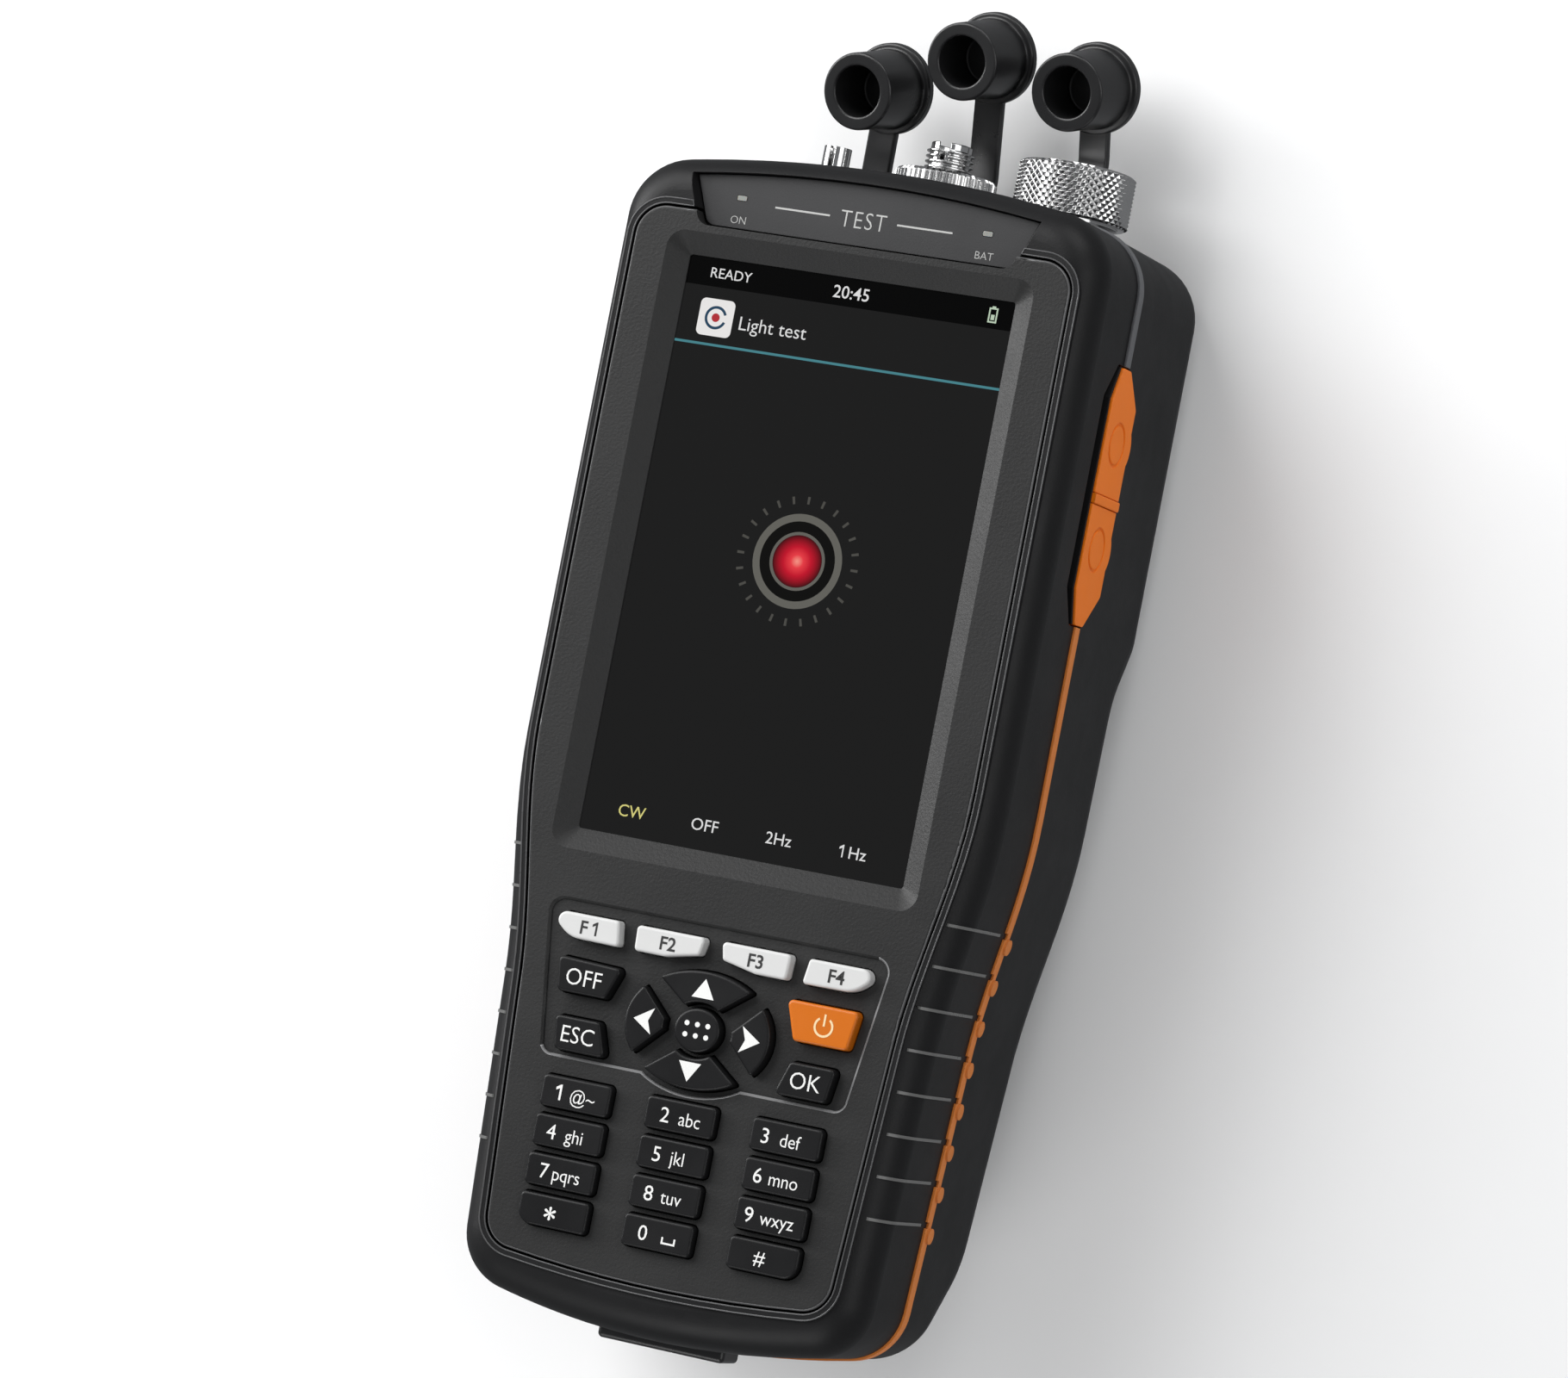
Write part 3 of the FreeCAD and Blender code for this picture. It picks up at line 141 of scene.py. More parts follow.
# Screws
# Self-tapping screws of zinc-plated steel, driven from behind into the shells and the battery door by
# the cross that is pressed into each head.
HAZE_WIDTH = 5 * MM
FACE_BAND = 0.05 * MM
HEAD_SPREAD = 8.0 * MM
CROSS_REACH = 1.1 * MM
CROSS_HALF = 0.3 * MM
CROSS_DEPTH = 0.8 * MM


def metal_surface(name, colour, roughness, lines, depth, stretch=(1.0, 1.0, 1.0)):
    """Bare or plated metal: tool lines in the height and uneven polish. A small stretch along an axis
    draws the lines out along it."""
    material, tree, shader = new_surface(name, Metallic=1.0, Roughness=roughness)
    place = add_node(tree, "ShaderNodeTexCoord").outputs["Object"]
    drawn = add_node(tree, "ShaderNodeMapping", {"Vector": place, "Scale": stretch})
    tool = add_node(tree, "ShaderNodeTexNoise",
                    {"Vector": drawn.outputs["Vector"], "Scale": 1 / lines, "Detail": 2.0})
    broken_edge = add_node(tree, "ShaderNodeBevel", {"Radius": 0.12 * MM}, samples=4)
    bump = add_node(tree, "ShaderNodeBump", {"Height": tool.outputs["Fac"], "Distance": depth,
                                             "Normal": broken_edge.outputs["Normal"]})
    tree.links.new(bump.outputs["Normal"], shader.inputs["Normal"])
    haze = add_node(tree, "ShaderNodeTexNoise", {"Vector": place, "Scale": 1 / HAZE_WIDTH, "Detail": 4.0})
    tint = add_node(tree, "ShaderNodeMix", {"Factor": haze.outputs["Fac"], "A": linear(colour, 0.92),
                                            "B": linear(colour, 1.06)}, data_type="RGBA")
    tree.links.new(tint.outputs["Result"], shader.inputs["Base Color"])
    rub = add_node(tree, "ShaderNodeMapRange",
                   {"Value": haze.outputs["Fac"], "From Min": 0.3, "From Max": 0.7,
                    "To Min": 0.75 * roughness, "To Max": 1.3 * roughness})
    tree.links.new(rub.outputs["Result"], shader.inputs["Roughness"])
    return material


def place_mesh(name, mesh, material, body):
    """A finished mesh as a piece of the object, riding on its body."""
    piece = bpy.data.objects.new(name, mesh)
    bpy.context.scene.collection.objects.link(piece)
    mesh.materials.clear()
    mesh.materials.append(material)
    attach(piece, body)
    return piece


def finished(shape, name, smooth_angle=None):
    """Closes a bmesh into a mesh with its faces outwards, smooth up to the given angle."""
    bmesh.ops.recalc_face_normals(shape, faces=shape.faces)
    mesh = bpy.data.meshes.new(name)
    shape.to_mesh(mesh)
    shape.free()
    if smooth_angle is not None:
        mesh.shade_smooth()
        mesh.set_sharp_from_angle(angle=math.radians(smooth_angle))
    return mesh


def add_slab(shape, x0, x1, y0, y1, z0, z1):
    """Adds a thin rectangular plate to a bmesh."""
    middle = Vector(((x0 + x1) / 2, (y0 + y1) / 2, (z0 + z1) / 2))
    made = bmesh.ops.create_cube(shape, size=1.0)["verts"]
    bmesh.ops.scale(shape, vec=(x1 - x0, y1 - y0, z1 - z0), verts=made)
    bmesh.ops.translate(shape, vec=middle, verts=made)


def slabs_mesh(name, boxes):
    """Mesh of thin rectangular plates, each given by its limits in x, y and z."""
    shape = bmesh.new()
    for limits in boxes:
        add_slab(shape, *limits)
    return finished(shape, name)


def carved(mesh, cutter):
    """The mesh with the cutter's shape taken out of it."""
    holders = [bpy.data.objects.new("carving", each) for each in (mesh, cutter)]
    for holder in holders:
        bpy.context.scene.collection.objects.link(holder)
    cut = holders[0].modifiers.new("cut", "BOOLEAN")
    cut.operation = "DIFFERENCE"
    cut.solver = "EXACT"
    cut.object = holders[1]
    bpy.context.view_layer.update()
    result = bpy.data.meshes.new_from_object(holders[0].evaluated_get(bpy.context.evaluated_depsgraph_get()))
    for holder in holders:
        bpy.data.objects.remove(holder)
    return result


def driven(node):
    """A copy of a group of screws with a cross for the driver pressed into each head."""
    metal = frame["nodes"][node].data.copy()
    face_z = min(v.co.z for v in metal.vertices)
    heads = []
    for vert in metal.vertices:
        if vert.co.z < face_z + FACE_BAND:
            flat = vert.co.xy.copy()
            near = [head for head in heads if (head[0] - flat).length < HEAD_SPREAD]
            if near:
                near[0].append(flat)
            else:
                heads.append([flat])
    for rim in heads:
        centre = sum(rim, Vector((0, 0))) / len(rim)
        for half_x, half_y in ((CROSS_REACH, CROSS_HALF), (CROSS_HALF, CROSS_REACH)):
            arm = (centre.x - half_x, centre.x + half_x, centre.y - half_y, centre.y + half_y,
                   face_z - MM, face_z + CROSS_DEPTH)
            metal = carved(metal, slabs_mesh("arm", [arm]))
    piece = place_mesh(node + "_driven", metal, screw_steel, frame["nodes"][node]["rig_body"])
    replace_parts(piece, node)


# Zinc out of the tumbling barrel is a dull grey with uneven polish.
screw_steel = metal_surface("steel_zinc_plated", "#8c8c8a", 0.36, 0.4 * MM, 0.01 * MM)
driven("case_screws")
driven("battery_door_screws")


# Parts inside the case
# The battery pack in its sleeve, the main board, the optical module, the laser and the display in their
# cans, the mat under the keys and the sockets, all screwed or clipped between the shells.

# Heat-shrunk PVC is smooth, blue and a little glossy.
sleeve_blue = grained_surface("pvc_shrink_sleeve_blue", "#24478c", 0.3, 2.0 * MM, 0.01 * MM)
# Solder mask over the weave of the board gives a dark green gloss with a slight ripple.
mask_green = grained_surface("epoxy_board_green", "#0f4a26", 0.35, 1.2 * MM, 0.01 * MM)
# Rolled sheet shows long lines in the rolling direction.
sheet_metal = metal_surface("aluminium_sheet_rolled", "#b9babb", 0.35, 0.15 * MM, 0.004 * MM,
                            (1.0, 0.03, 1.0))
# Uncoated silicone is dull and even.
mat_silicone = grained_surface("silicone_mat_grey", "#6f6f70", 0.6, 0.4 * MM, 0.01 * MM, IOR=1.41)
# Pressed and plated socket shells are bright and warm grey.
socket_plating = metal_surface("steel_socket_nickel", "#b5b4ae", 0.26, 0.2 * MM, 0.003 * MM)
# Moulded nylon is black with a low shine.
socket_nylon = grained_surface("nylon_socket_black", "#151515", 0.4, 0.3 * MM, 0.01 * MM)
for node, material in (
        ("battery_pack", sleeve_blue), ("main_board", mask_green), ("optics_module", sheet_metal),
        ("vfl_laser", sheet_metal), ("display_module", sheet_metal), ("keypad_mat", mat_silicone),
        ("usb_socket", socket_plating), ("host_socket", socket_plating), ("charge_jack", socket_nylon)):
    dress(node, material)


# Seam trim and seam band
# A soft orange thermoplastic strip squeezed between the shells along the grip, with small round nubs
# for the fingers, and the grey hard band that goes on from it round the head.

# Soft thermoplastic is dull, and pale with handling, so its orange is dustier than the cover's.
trim_rubber = grained_surface("tpe_trim_orange", "#cf772e", 0.5, 0.35 * MM, 0.012 * MM, edge=0.3 * MM,
                              IOR=1.5, Specular_IOR_Level=0.4)
# Smooth moulded ABS catches the light along its rounded edge.
band_plastic = grained_surface("abs_band_grey", "#58595c", 0.36, 0.3 * MM, 0.01 * MM, edge=0.3 * MM,
                               IOR=1.53)
dress("seam_trim", trim_rubber)
dress("seam_band", band_plastic)


# Front shell
# The front half of the case, moulded of the same black ABS with the same grain as the back. The fine
# finger lines on both flanks carry a painted highlight in pale grey, and a fine grey bead, a painted
# highlight too, runs along both edges of the low lip round the seat of the panel.
SCREEN_Y = -27.0 * MM
RIB_FIRST_Y = SCREEN_Y - 51.0 * MM
RIB_PITCH = 6.74 * MM
RIB_COUNT = 8
RIB_HALF = 0.21 * MM
RIB_LOW_Z = 37.9 * MM
SKIN = 0.04 * MM
WELD = 0.0005 * MM
LIP_Z = 55.3 * MM
LIP_BAND = 0.01 * MM
LIP_ANGLE = math.radians(57.0)
BEAD_RADIUS = 0.13 * MM
dress("front_housing", shell_plastic)
# Pale grey, smooth ABS laid over the finger lines as their painted highlight.
lines_highlight_plastic = grained_surface("abs_painted_highlight_pale", "#626261", 0.3, 0.2 * MM, 0.004 * MM,
                                 edge=0.05 * MM, IOR=1.53)
# The bead's painted highlight is dimmer than the lines', and so darker.
bead_highlight_plastic = grained_surface("abs_bead_painted_highlight", "#4a4a4b", 0.28, 0.3 * MM, 0.004 * MM,
                               edge=0.02 * MM, IOR=1.53)


def on_rib(face):
    """Whether a face of the front shell lies wholly on one of the finger lines."""
    for i in range(RIB_COUNT):
        middle = RIB_FIRST_Y - i * RIB_PITCH
        if all(abs(v.co.y - middle) < RIB_HALF and v.co.z > RIB_LOW_Z for v in face.verts):
            return True
    return False


def merged_copy(node):
    """A bmesh copy of a CAD piece, with its loose triangles joined along their sides."""
    shape = bmesh.new()
    shape.from_mesh(frame["nodes"][node].data)
    bmesh.ops.remove_doubles(shape, verts=shape.verts, dist=WELD)
    return shape


def highlight_skin(name, node, chosen, material):
    """A thin pale skin over the chosen faces of a CAD piece, where it paints a highlight."""
    skin = merged_copy(node)
    bmesh.ops.delete(skin, geom=[face for face in skin.faces if not chosen(face)], context="FACES")
    bmesh.ops.solidify(skin, geom=skin.faces[:], thickness=-SKIN)
    place_mesh(name, finished(skin, name), material, "case")


# The pale skin on the finger lines is a painted highlight.
highlight_skin("flank_lines_painted_highlight", "front_housing", on_rib, lines_highlight_plastic)

# The bead, a painted highlight: only the sharp edges at the lip's height are kept, and a fine round pale wire follows
# them.
rim = merged_copy("front_housing")
off_rim = [e for e in rim.edges if e.calc_face_angle(0) < LIP_ANGLE
           or max(abs(v.co.z - LIP_Z) for v in e.verts) > LIP_BAND]
bmesh.ops.delete(rim, geom=off_rim, context="EDGES_FACES")
bmesh.ops.delete(rim, geom=[v for v in rim.verts if not v.link_edges], context="VERTS")
rim_mesh = bpy.data.meshes.new("rim")
rim.to_mesh(rim_mesh)
rim.free()
bead = bpy.data.objects.new("bead", rim_mesh)
bpy.context.scene.collection.objects.link(bead)
bpy.ops.object.select_all(action="DESELECT")
bpy.context.view_layer.objects.active = bead
bead.select_set(True)
bpy.ops.object.convert(target="CURVE")
bead.data.bevel_depth = BEAD_RADIUS
bead.data.bevel_resolution = 3
bead_mesh = bpy.data.meshes.new_from_object(bead.evaluated_get(bpy.context.evaluated_depsgraph_get()))
bpy.data.objects.remove(bead)
bead_mesh.shade_smooth()
place_mesh("panel_seat_bead", bead_mesh, bead_highlight_plastic, "case")


# Front panel
# A separate frame of dark grey ABS, clipped into the seat of the front shell. It holds the sloped edge
# of the screen and the shallow field of the keys. The narrow slopes round the field, on its lit right and
# lower sides, and round the whole panel carry painted highlights in paler grey.
FIELD_TOP = SCREEN_Y - 57.0 * MM
FIELD_FOOT = SCREEN_Y - 91.0 * MM
FIELD_REACH = 30.0 * MM
SLOPE_MIDDLE_Z = 55.3 * MM
SLOPE_HALF = 0.15 * MM
SCREEN_EDGE_X = 32.5 * MM
SCREEN_EDGE_Y = 51.5 * MM
# A deep spark texture makes the grey matt and lively. Its grain is drawn at 0.5 mm, so that it shows.
panel_plastic = grained_surface("abs_panel_matt_grey", "#292929", 0.46, 0.50 * MM, 0.055 * MM,
                                mottle=0.14, edge=0.12 * MM, IOR=1.53, Specular_IOR_Level=0.22)
# The painted highlight on the lit slopes of the field is light grey and smooth.
field_highlight_plastic = grained_surface("abs_edge_painted_highlight_grey", "#7a7a7b", 0.3, 0.3 * MM, 0.004 * MM,
                                   edge=0.02 * MM, IOR=1.53)
# The painted highlight on the rim of the panel is dimmer, a middle grey.
rim_highlight_plastic = grained_surface("abs_rim_painted_highlight_grey", "#565657", 0.3, 0.3 * MM, 0.004 * MM,
                               edge=0.02 * MM, IOR=1.53)
dress("front_panel", panel_plastic)


def on_edge_slope(face, in_field):
    """Whether a face belongs to the narrow slope round the field of the keys, or round the panel."""
    middle = face.calc_center_median()
    inside = FIELD_FOOT < middle.y < FIELD_TOP and abs(middle.x) < FIELD_REACH
    slope = abs(middle.z - SLOPE_MIDDLE_Z) < SLOPE_HALF and 0.4 < abs(face.normal.z) < 0.95
    return slope and inside == in_field


def on_field_edge(face):
    """Whether a face lies on the right or the lower slope of the field, which faces the light and carries the painted
    highlight.
    """
    return on_edge_slope(face, True) and (face.normal.x < -0.1 or face.normal.y > 0.3)


def on_panel_rim(face):
    """Whether a face lies on the slope round the whole panel, and not at the edge of the screen."""
    middle = face.calc_center_median()
    at_screen = abs(middle.x) < SCREEN_EDGE_X and abs(middle.y - SCREEN_Y) < SCREEN_EDGE_Y
    return on_edge_slope(face, False) and not at_screen


# The pale skins on the slopes of the field and on the rim of the panel are painted highlights.
highlight_skin("field_edge_painted_highlight", "front_panel", on_field_edge, field_highlight_plastic)
highlight_skin("panel_rim_painted_highlight", "front_panel", on_panel_rim, rim_highlight_plastic)


# Nameplate
# A printed polycarbonate strip glued between the ears of the front shell, with two milky light pipes,
# a plain word between two fine rules, and a word under each light.
PLATE_Z = 53.0 * MM
PRINT_RISE = 0.03 * MM
CAPITAL_SHARE = 0.729
RULE_Y = SCREEN_Y + 56.2 * MM
RULE_HALF = 0.15 * MM
LIGHT_X = 21.2 * MM
LIGHT_WORD_Y = SCREEN_Y + 53.4 * MM
# Satin polycarbonate has an even grey with hardly any sheen.
plate_plastic = grained_surface("polycarbonate_plate_grey", "#353536", 0.42, 0.3 * MM, 0.012 * MM,
                                mottle=0.06, IOR=1.58, Specular_IOR_Level=0.25)
# Screen-printing ink dries matt and pale.
print_ink = grained_surface("ink_screen_print_grey", "#b4b4b2", 0.55, 0.12 * MM, 0.004 * MM, edge=0.01 * MM)
# Milky acrylic lets a little light under its surface.
pipe_plastic = grained_surface("acrylic_pipe_milky", "#8f918d", 0.3, 0.5 * MM, 0.004 * MM, mottle=0.05,
                               edge=0.1 * MM, IOR=1.49, Subsurface_Weight=0.3, Subsurface_Scale=0.5 * MM)


def softened(node, material, width):
    """A copy of a CAD piece in its place, with its sharp edges rounded off."""
    shape = merged_copy(node)
    bmesh.ops.dissolve_limit(shape, angle_limit=math.radians(0.5), verts=shape.verts, edges=shape.edges)
    sharp = [e for e in shape.edges if e.is_manifold and e.calc_face_angle() > math.radians(35.0)]
    bmesh.ops.bevel(shape, geom=sharp, offset=width, offset_type="OFFSET", affect="EDGES", segments=3,
                    profile=0.5, material=-1, clamp_overlap=True)
    piece = place_mesh(node + "_softened", finished(shape, node + "_softened", 40.0), material,
                       frame["nodes"][node]["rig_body"])
    piece.modifiers.new("even_light", "WEIGHTED_NORMAL").keep_sharp = True
    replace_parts(piece, node)


def text_mesh(words, cap_height, x, y, z, thickness, align="CENTER", weight=0.0, squeeze=1.0, spacing=1.0):
    """Mesh of raised lettering whose capitals are cap_height tall, centred on y, standing on level z. A
    capital takes up CAPITAL_SHARE of the typeface's size."""
    curve = bpy.data.curves.new("lettering", "FONT")
    curve.body = words
    curve.align_x = align
    curve.offset = weight
    curve.space_character = spacing
    curve.extrude = 0.5
    curve.resolution_u = 3
    holder = bpy.data.objects.new("lettering", curve)
    bpy.context.scene.collection.objects.link(holder)
    bpy.context.view_layer.update()
    mesh = bpy.data.meshes.new_from_object(holder.evaluated_get(bpy.context.evaluated_depsgraph_get()))
    bpy.data.objects.remove(holder)
    bpy.data.curves.remove(curve)
    size = cap_height / CAPITAL_SHARE
    mesh.transform(Matrix.Diagonal((size * squeeze, size, thickness, 1.0)))
    mesh.transform(Matrix.Translation((x, y - cap_height / 2, z + thickness / 2)))
    return mesh


def join_meshes(name, meshes):
    """One mesh from several."""
    shape = bmesh.new()
    for mesh in meshes:
        shape.from_mesh(mesh)
        bpy.data.meshes.remove(mesh)
    joined = bpy.data.meshes.new(name)
    shape.to_mesh(joined)
    shape.free()
    return joined


dress("led_light_pipes", pipe_plastic)
softened("nameplate", plate_plastic, 0.18 * MM)
rules = [(low, high, RULE_Y - RULE_HALF, RULE_Y + RULE_HALF, PLATE_Z, PLATE_Z + PRINT_RISE)
         for low, high in ((-15.3 * MM, -5.8 * MM), (5.8 * MM, 15.3 * MM))]
plate_print = [
    slabs_mesh("rules", rules),
    text_mesh("TEST", 2.9 * MM, 0.0, RULE_Y, PLATE_Z, PRINT_RISE, weight=-0.012, squeeze=0.86, spacing=1.12),
    text_mesh("ON", 1.3 * MM, -LIGHT_X, LIGHT_WORD_Y, PLATE_Z, PRINT_RISE, weight=-0.01),
    text_mesh("BAT", 1.3 * MM, LIGHT_X, LIGHT_WORD_Y, PLATE_Z, PRINT_RISE, weight=-0.01)]
place_mesh("nameplate_print", join_meshes("nameplate_print", plate_print), print_ink, "case")


# Screen
# A thin-film display behind a clear acrylic window, glued in from the front. The picture is drawn just
# over the window's face: a black status bar, a dark page with a heading over a cyan rule, a round lamp
# that glows red in the middle, and four soft-key words along the foot.
SCREEN_HALF_X = 28.1 * MM
SCREEN_HALF_Y = 46.8 * MM
BAR_LOW = SCREEN_Y + 42.2 * MM
WINDOW_Z = 53.0 * MM
LAYER = 0.02 * MM
OVER = WINDOW_Z + LAYER
PIXEL = 0.18 * MM
SEAM_WELD = 0.001 * MM
# Hard-coated acrylic over a dark display is nearly black, and as smooth as glass.
window_gloss = grained_surface("acrylic_window_dark", "#0b0b0c", 0.1, 6.0 * MM, 0.002 * MM, mottle=0.05,
                               edge=0.1 * MM, IOR=1.49)
dress("display_window", window_gloss)


def lit_surface(name, colour, glow=0.8):
    """A patch of the display: nearly black in itself, shining in its colour through fine pixels. The
    pixels are drawn half as wide again as the real ones, so that they show."""
    material, tree, shader = new_surface(name, Base_Color=linear("#020202"), Roughness=0.14,
                                         Specular_IOR_Level=0.1, Emission_Strength=glow)
    place = add_node(tree, "ShaderNodeTexCoord").outputs["Object"]
    raster = add_node(tree, "ShaderNodeTexChecker", {
        "Vector": place, "Scale": 1 / PIXEL, "Color1": linear(colour, 0.95), "Color2": linear(colour, 1.05)})
    tree.links.new(raster.outputs["Color"], shader.inputs["Emission Color"])
    return material


def flat_shape(points, z, thickness):
    """Mesh of a thin plate whose outline runs through the points."""
    shape = bmesh.new()
    face = shape.faces.new([shape.verts.new((x, y, z)) for x, y in points])
    raised = bmesh.ops.extrude_face_region(shape, geom=[face])["geom"]
    top = [part for part in raised if isinstance(part, bmesh.types.BMVert)]
    bmesh.ops.translate(shape, vec=(0, 0, thickness), verts=top)
    return finished(shape, "plate")


def disc_mesh(x, y, z, radius, thickness, segments=48):
    """Mesh of a thin round plate."""
    shape = bmesh.new()
    made = bmesh.ops.create_cone(shape, cap_ends=True, segments=segments, radius1=radius, radius2=radius,
                                 depth=thickness)["verts"]
    bmesh.ops.translate(shape, verts=made, vec=(x, y, z + thickness / 2))
    return finished(shape, "disc")


def arc_mesh(x, y, z, inner, outer, start, sweep, thickness):
    """Mesh of a flat ring or part of one: a short line spun about the middle, then given a thickness."""
    shape = bmesh.new()
    first = shape.verts.new((inner, 0, 0))
    second = shape.verts.new((outer, 0, 0))
    edge = shape.edges.new((first, second))
    turn = Matrix.Rotation(math.radians(start), 3, "Z")
    bmesh.ops.rotate(shape, verts=[first, second], cent=(0, 0, 0), matrix=turn)
    bmesh.ops.spin(shape, geom=[first, second, edge], cent=(0, 0, 0), axis=(0, 0, 1),
                   angle=math.radians(sweep), steps=max(int(sweep / 7.5), 3), use_merge=sweep >= 360)
    bmesh.ops.remove_doubles(shape, verts=shape.verts, dist=SEAM_WELD)
    bmesh.ops.solidify(shape, geom=shape.faces[:], thickness=thickness)
    bmesh.ops.translate(shape, verts=shape.verts, vec=(x, y, z + thickness))
    return finished(shape, "arc")


def rounded_square(x, y, z, half, corner, thickness):
    """Mesh of a thin square plate with rounded corners."""
    shape = bmesh.new()
    add_slab(shape, x - half, x + half, y - half, y + half, z, z + thickness)
    upright = [e for e in shape.edges if abs(e.verts[0].co.z - e.verts[1].co.z) > thickness / 2]
    bmesh.ops.bevel(shape, geom=upright, offset=corner, offset_type="OFFSET", affect="EDGES", segments=6,
                    profile=0.5, material=-1)
    return finished(shape, "rounded_square")


def display_piece(name, meshes, colour, glow=0.8):
    """A patch of the picture on the display."""
    place_mesh(name, join_meshes(name, meshes), lit_surface("display_" + name, colour, glow), "case")


def full_width(low, high, z):
    """Mesh of a plate as wide as the display, from one height on it to another."""
    return slabs_mesh("stripe", [(-SCREEN_HALF_X, SCREEN_HALF_X, low, high, z, z + LAYER)])


CYAN_Y = SCREEN_Y + 32.9 * MM
CYAN_HALF = 0.2 * MM
display_piece("screen_page", [full_width(SCREEN_Y - SCREEN_HALF_Y, BAR_LOW, WINDOW_Z)], "#252525", 0.62)
display_piece("screen_status_bar", [full_width(BAR_LOW, SCREEN_Y + SCREEN_HALF_Y, WINDOW_Z)], "#020202")
display_piece("screen_heading_rule", [full_width(CYAN_Y - CYAN_HALF, CYAN_Y + CYAN_HALF, OVER)], "#4f8f99")


def one_mesh(cap_height, x, y, z, thickness, weight=0.14):
    """The figure 1: an upright stroke with a slanted flag, centred on y."""
    outline = [(0.06, -0.5), (0.06 + weight, -0.5), (0.06 + weight, 0.5), (0.1, 0.5), (-0.2, 0.3),
               (-0.2, 0.13), (0.06, 0.26)]
    return flat_shape([(x + a * cap_height, y + b * cap_height) for a, b in outline], z, thickness)


STATUS_Y = SCREEN_Y + 44.5 * MM
SOFT_Y = SCREEN_Y - 42.7 * MM
display_piece("screen_words", [
    text_mesh("20:45", 2.1 * MM, 0.4 * MM, STATUS_Y, OVER, LAYER, weight=0.004),
    text_mesh("READY", 1.7 * MM, -20.6 * MM, STATUS_Y, OVER, LAYER),
    text_mesh("Light test", 2.3 * MM, -17.8 * MM, SCREEN_Y + 37.1 * MM, OVER, LAYER, "LEFT", weight=-0.004),
    text_mesh("OFF", 2.0 * MM, -6.9 * MM, SOFT_Y, OVER, LAYER),
    text_mesh("2Hz", 2.0 * MM, 5.9 * MM, SOFT_Y, OVER, LAYER),
    one_mesh(2.0 * MM, 16.7 * MM, SOFT_Y, OVER, LAYER, 0.11),
    text_mesh("Hz", 2.0 * MM, 19.4 * MM, SOFT_Y, OVER, LAYER)], "#e6e6e6", 0.9)
display_piece("screen_chosen_word", [text_mesh("CW", 2.0 * MM, -19.7 * MM, SOFT_Y, OVER, LAYER)],
              "#dcd583", 0.9)

# The small picture beside the heading: a white tile with a blue ring round a red dot.
TILE_X = -21.8 * MM
TILE_Y = SCREEN_Y + 37.3 * MM
display_piece("screen_tile", [rounded_square(TILE_X, TILE_Y, OVER, 3.0 * MM, 0.9 * MM, LAYER)],
              "#f1efee", 0.9)
display_piece("screen_tile_ring",
              [arc_mesh(TILE_X, TILE_Y, OVER + LAYER, 1.45 * MM, 1.9 * MM, 20, 320, LAYER)], "#2c4a63", 0.9)
display_piece("screen_tile_dot", [disc_mesh(TILE_X, TILE_Y, OVER + LAYER, 0.7 * MM, LAYER, 24)],
              "#b8343c", 0.9)

# The battery sign in the status bar: a pale green outline with a filled foot.
CELL_X = 24.6 * MM
CELL_Y = SCREEN_Y + 44.4 * MM
cell = [(CELL_X + x0 * MM, CELL_X + x1 * MM, CELL_Y + y0 * MM, CELL_Y + y1 * MM, OVER, OVER + LAYER)
        for x0, x1, y0, y1 in (
            (-0.75, -0.5, -1.1, 1.0), (0.5, 0.75, -1.1, 1.0), (-0.75, 0.75, -1.3, -1.05),
            (-0.75, 0.75, 0.85, 1.1), (-0.3, 0.3, 1.1, 1.35), (-0.3, 0.3, -0.85, 0.0))]
display_piece("screen_battery_sign", [slabs_mesh("cell", cell)], "#bfd3bb", 0.9)

# The lamp in the middle of the page: a knurled grey collar round a dark well, with a red glow over it.
LAMP_Y = SCREEN_Y + 1.0 * MM
GLOW_RADIUS = 4.2 * MM
display_piece("screen_lamp_collar", [arc_mesh(0, LAMP_Y, OVER, 6.4 * MM, 7.6 * MM, 0, 360, LAYER),
                                     arc_mesh(0, LAMP_Y, OVER, GLOW_RADIUS, 4.7 * MM, 0, 360, LAYER)],
              "#6d6c66")
display_piece("screen_lamp_well", [arc_mesh(0, LAMP_Y, OVER, 4.7 * MM, 6.4 * MM, 0, 360, LAYER)], "#10100f")
ticks = [arc_mesh(0, LAMP_Y, OVER, 9.2 * MM, 10.4 * MM, turn - 1.2, 2.4, LAYER) for turn in range(0, 360, 15)]
display_piece("screen_lamp_ticks", ticks, "#54534f")
# The glow shines from a pale middle through red to a dark rim.
glow_red, glow_tree, glow_shader = new_surface(
    "display_lamp_glow", Base_Color=linear("#020202"), Roughness=0.14, Specular_IOR_Level=0.1,
    Emission_Strength=0.9)
glow_place = add_node(glow_tree, "ShaderNodeTexCoord").outputs["Object"]
glow_centred = add_node(glow_tree, "ShaderNodeMapping", {
    "Vector": glow_place, "Location": (0.0, LAMP_Y, WINDOW_Z), "Scale": (GLOW_RADIUS,) * 3},
    vector_type="TEXTURE")
glow_fall = add_node(glow_tree, "ShaderNodeTexGradient", {"Vector": glow_centred.outputs["Vector"]},
                     gradient_type="SPHERICAL")
glow_ramp = add_node(glow_tree, "ShaderNodeValToRGB", {"Fac": glow_fall.outputs["Fac"]})
ramp = glow_ramp.color_ramp
ramp.elements[0].color = linear("#3a0d12")
ramp.elements[1].color = linear("#ff9a8c")
ramp.elements.new(0.45).color = linear("#c9182f")
ramp.elements.new(0.75).color = linear("#f0404a")
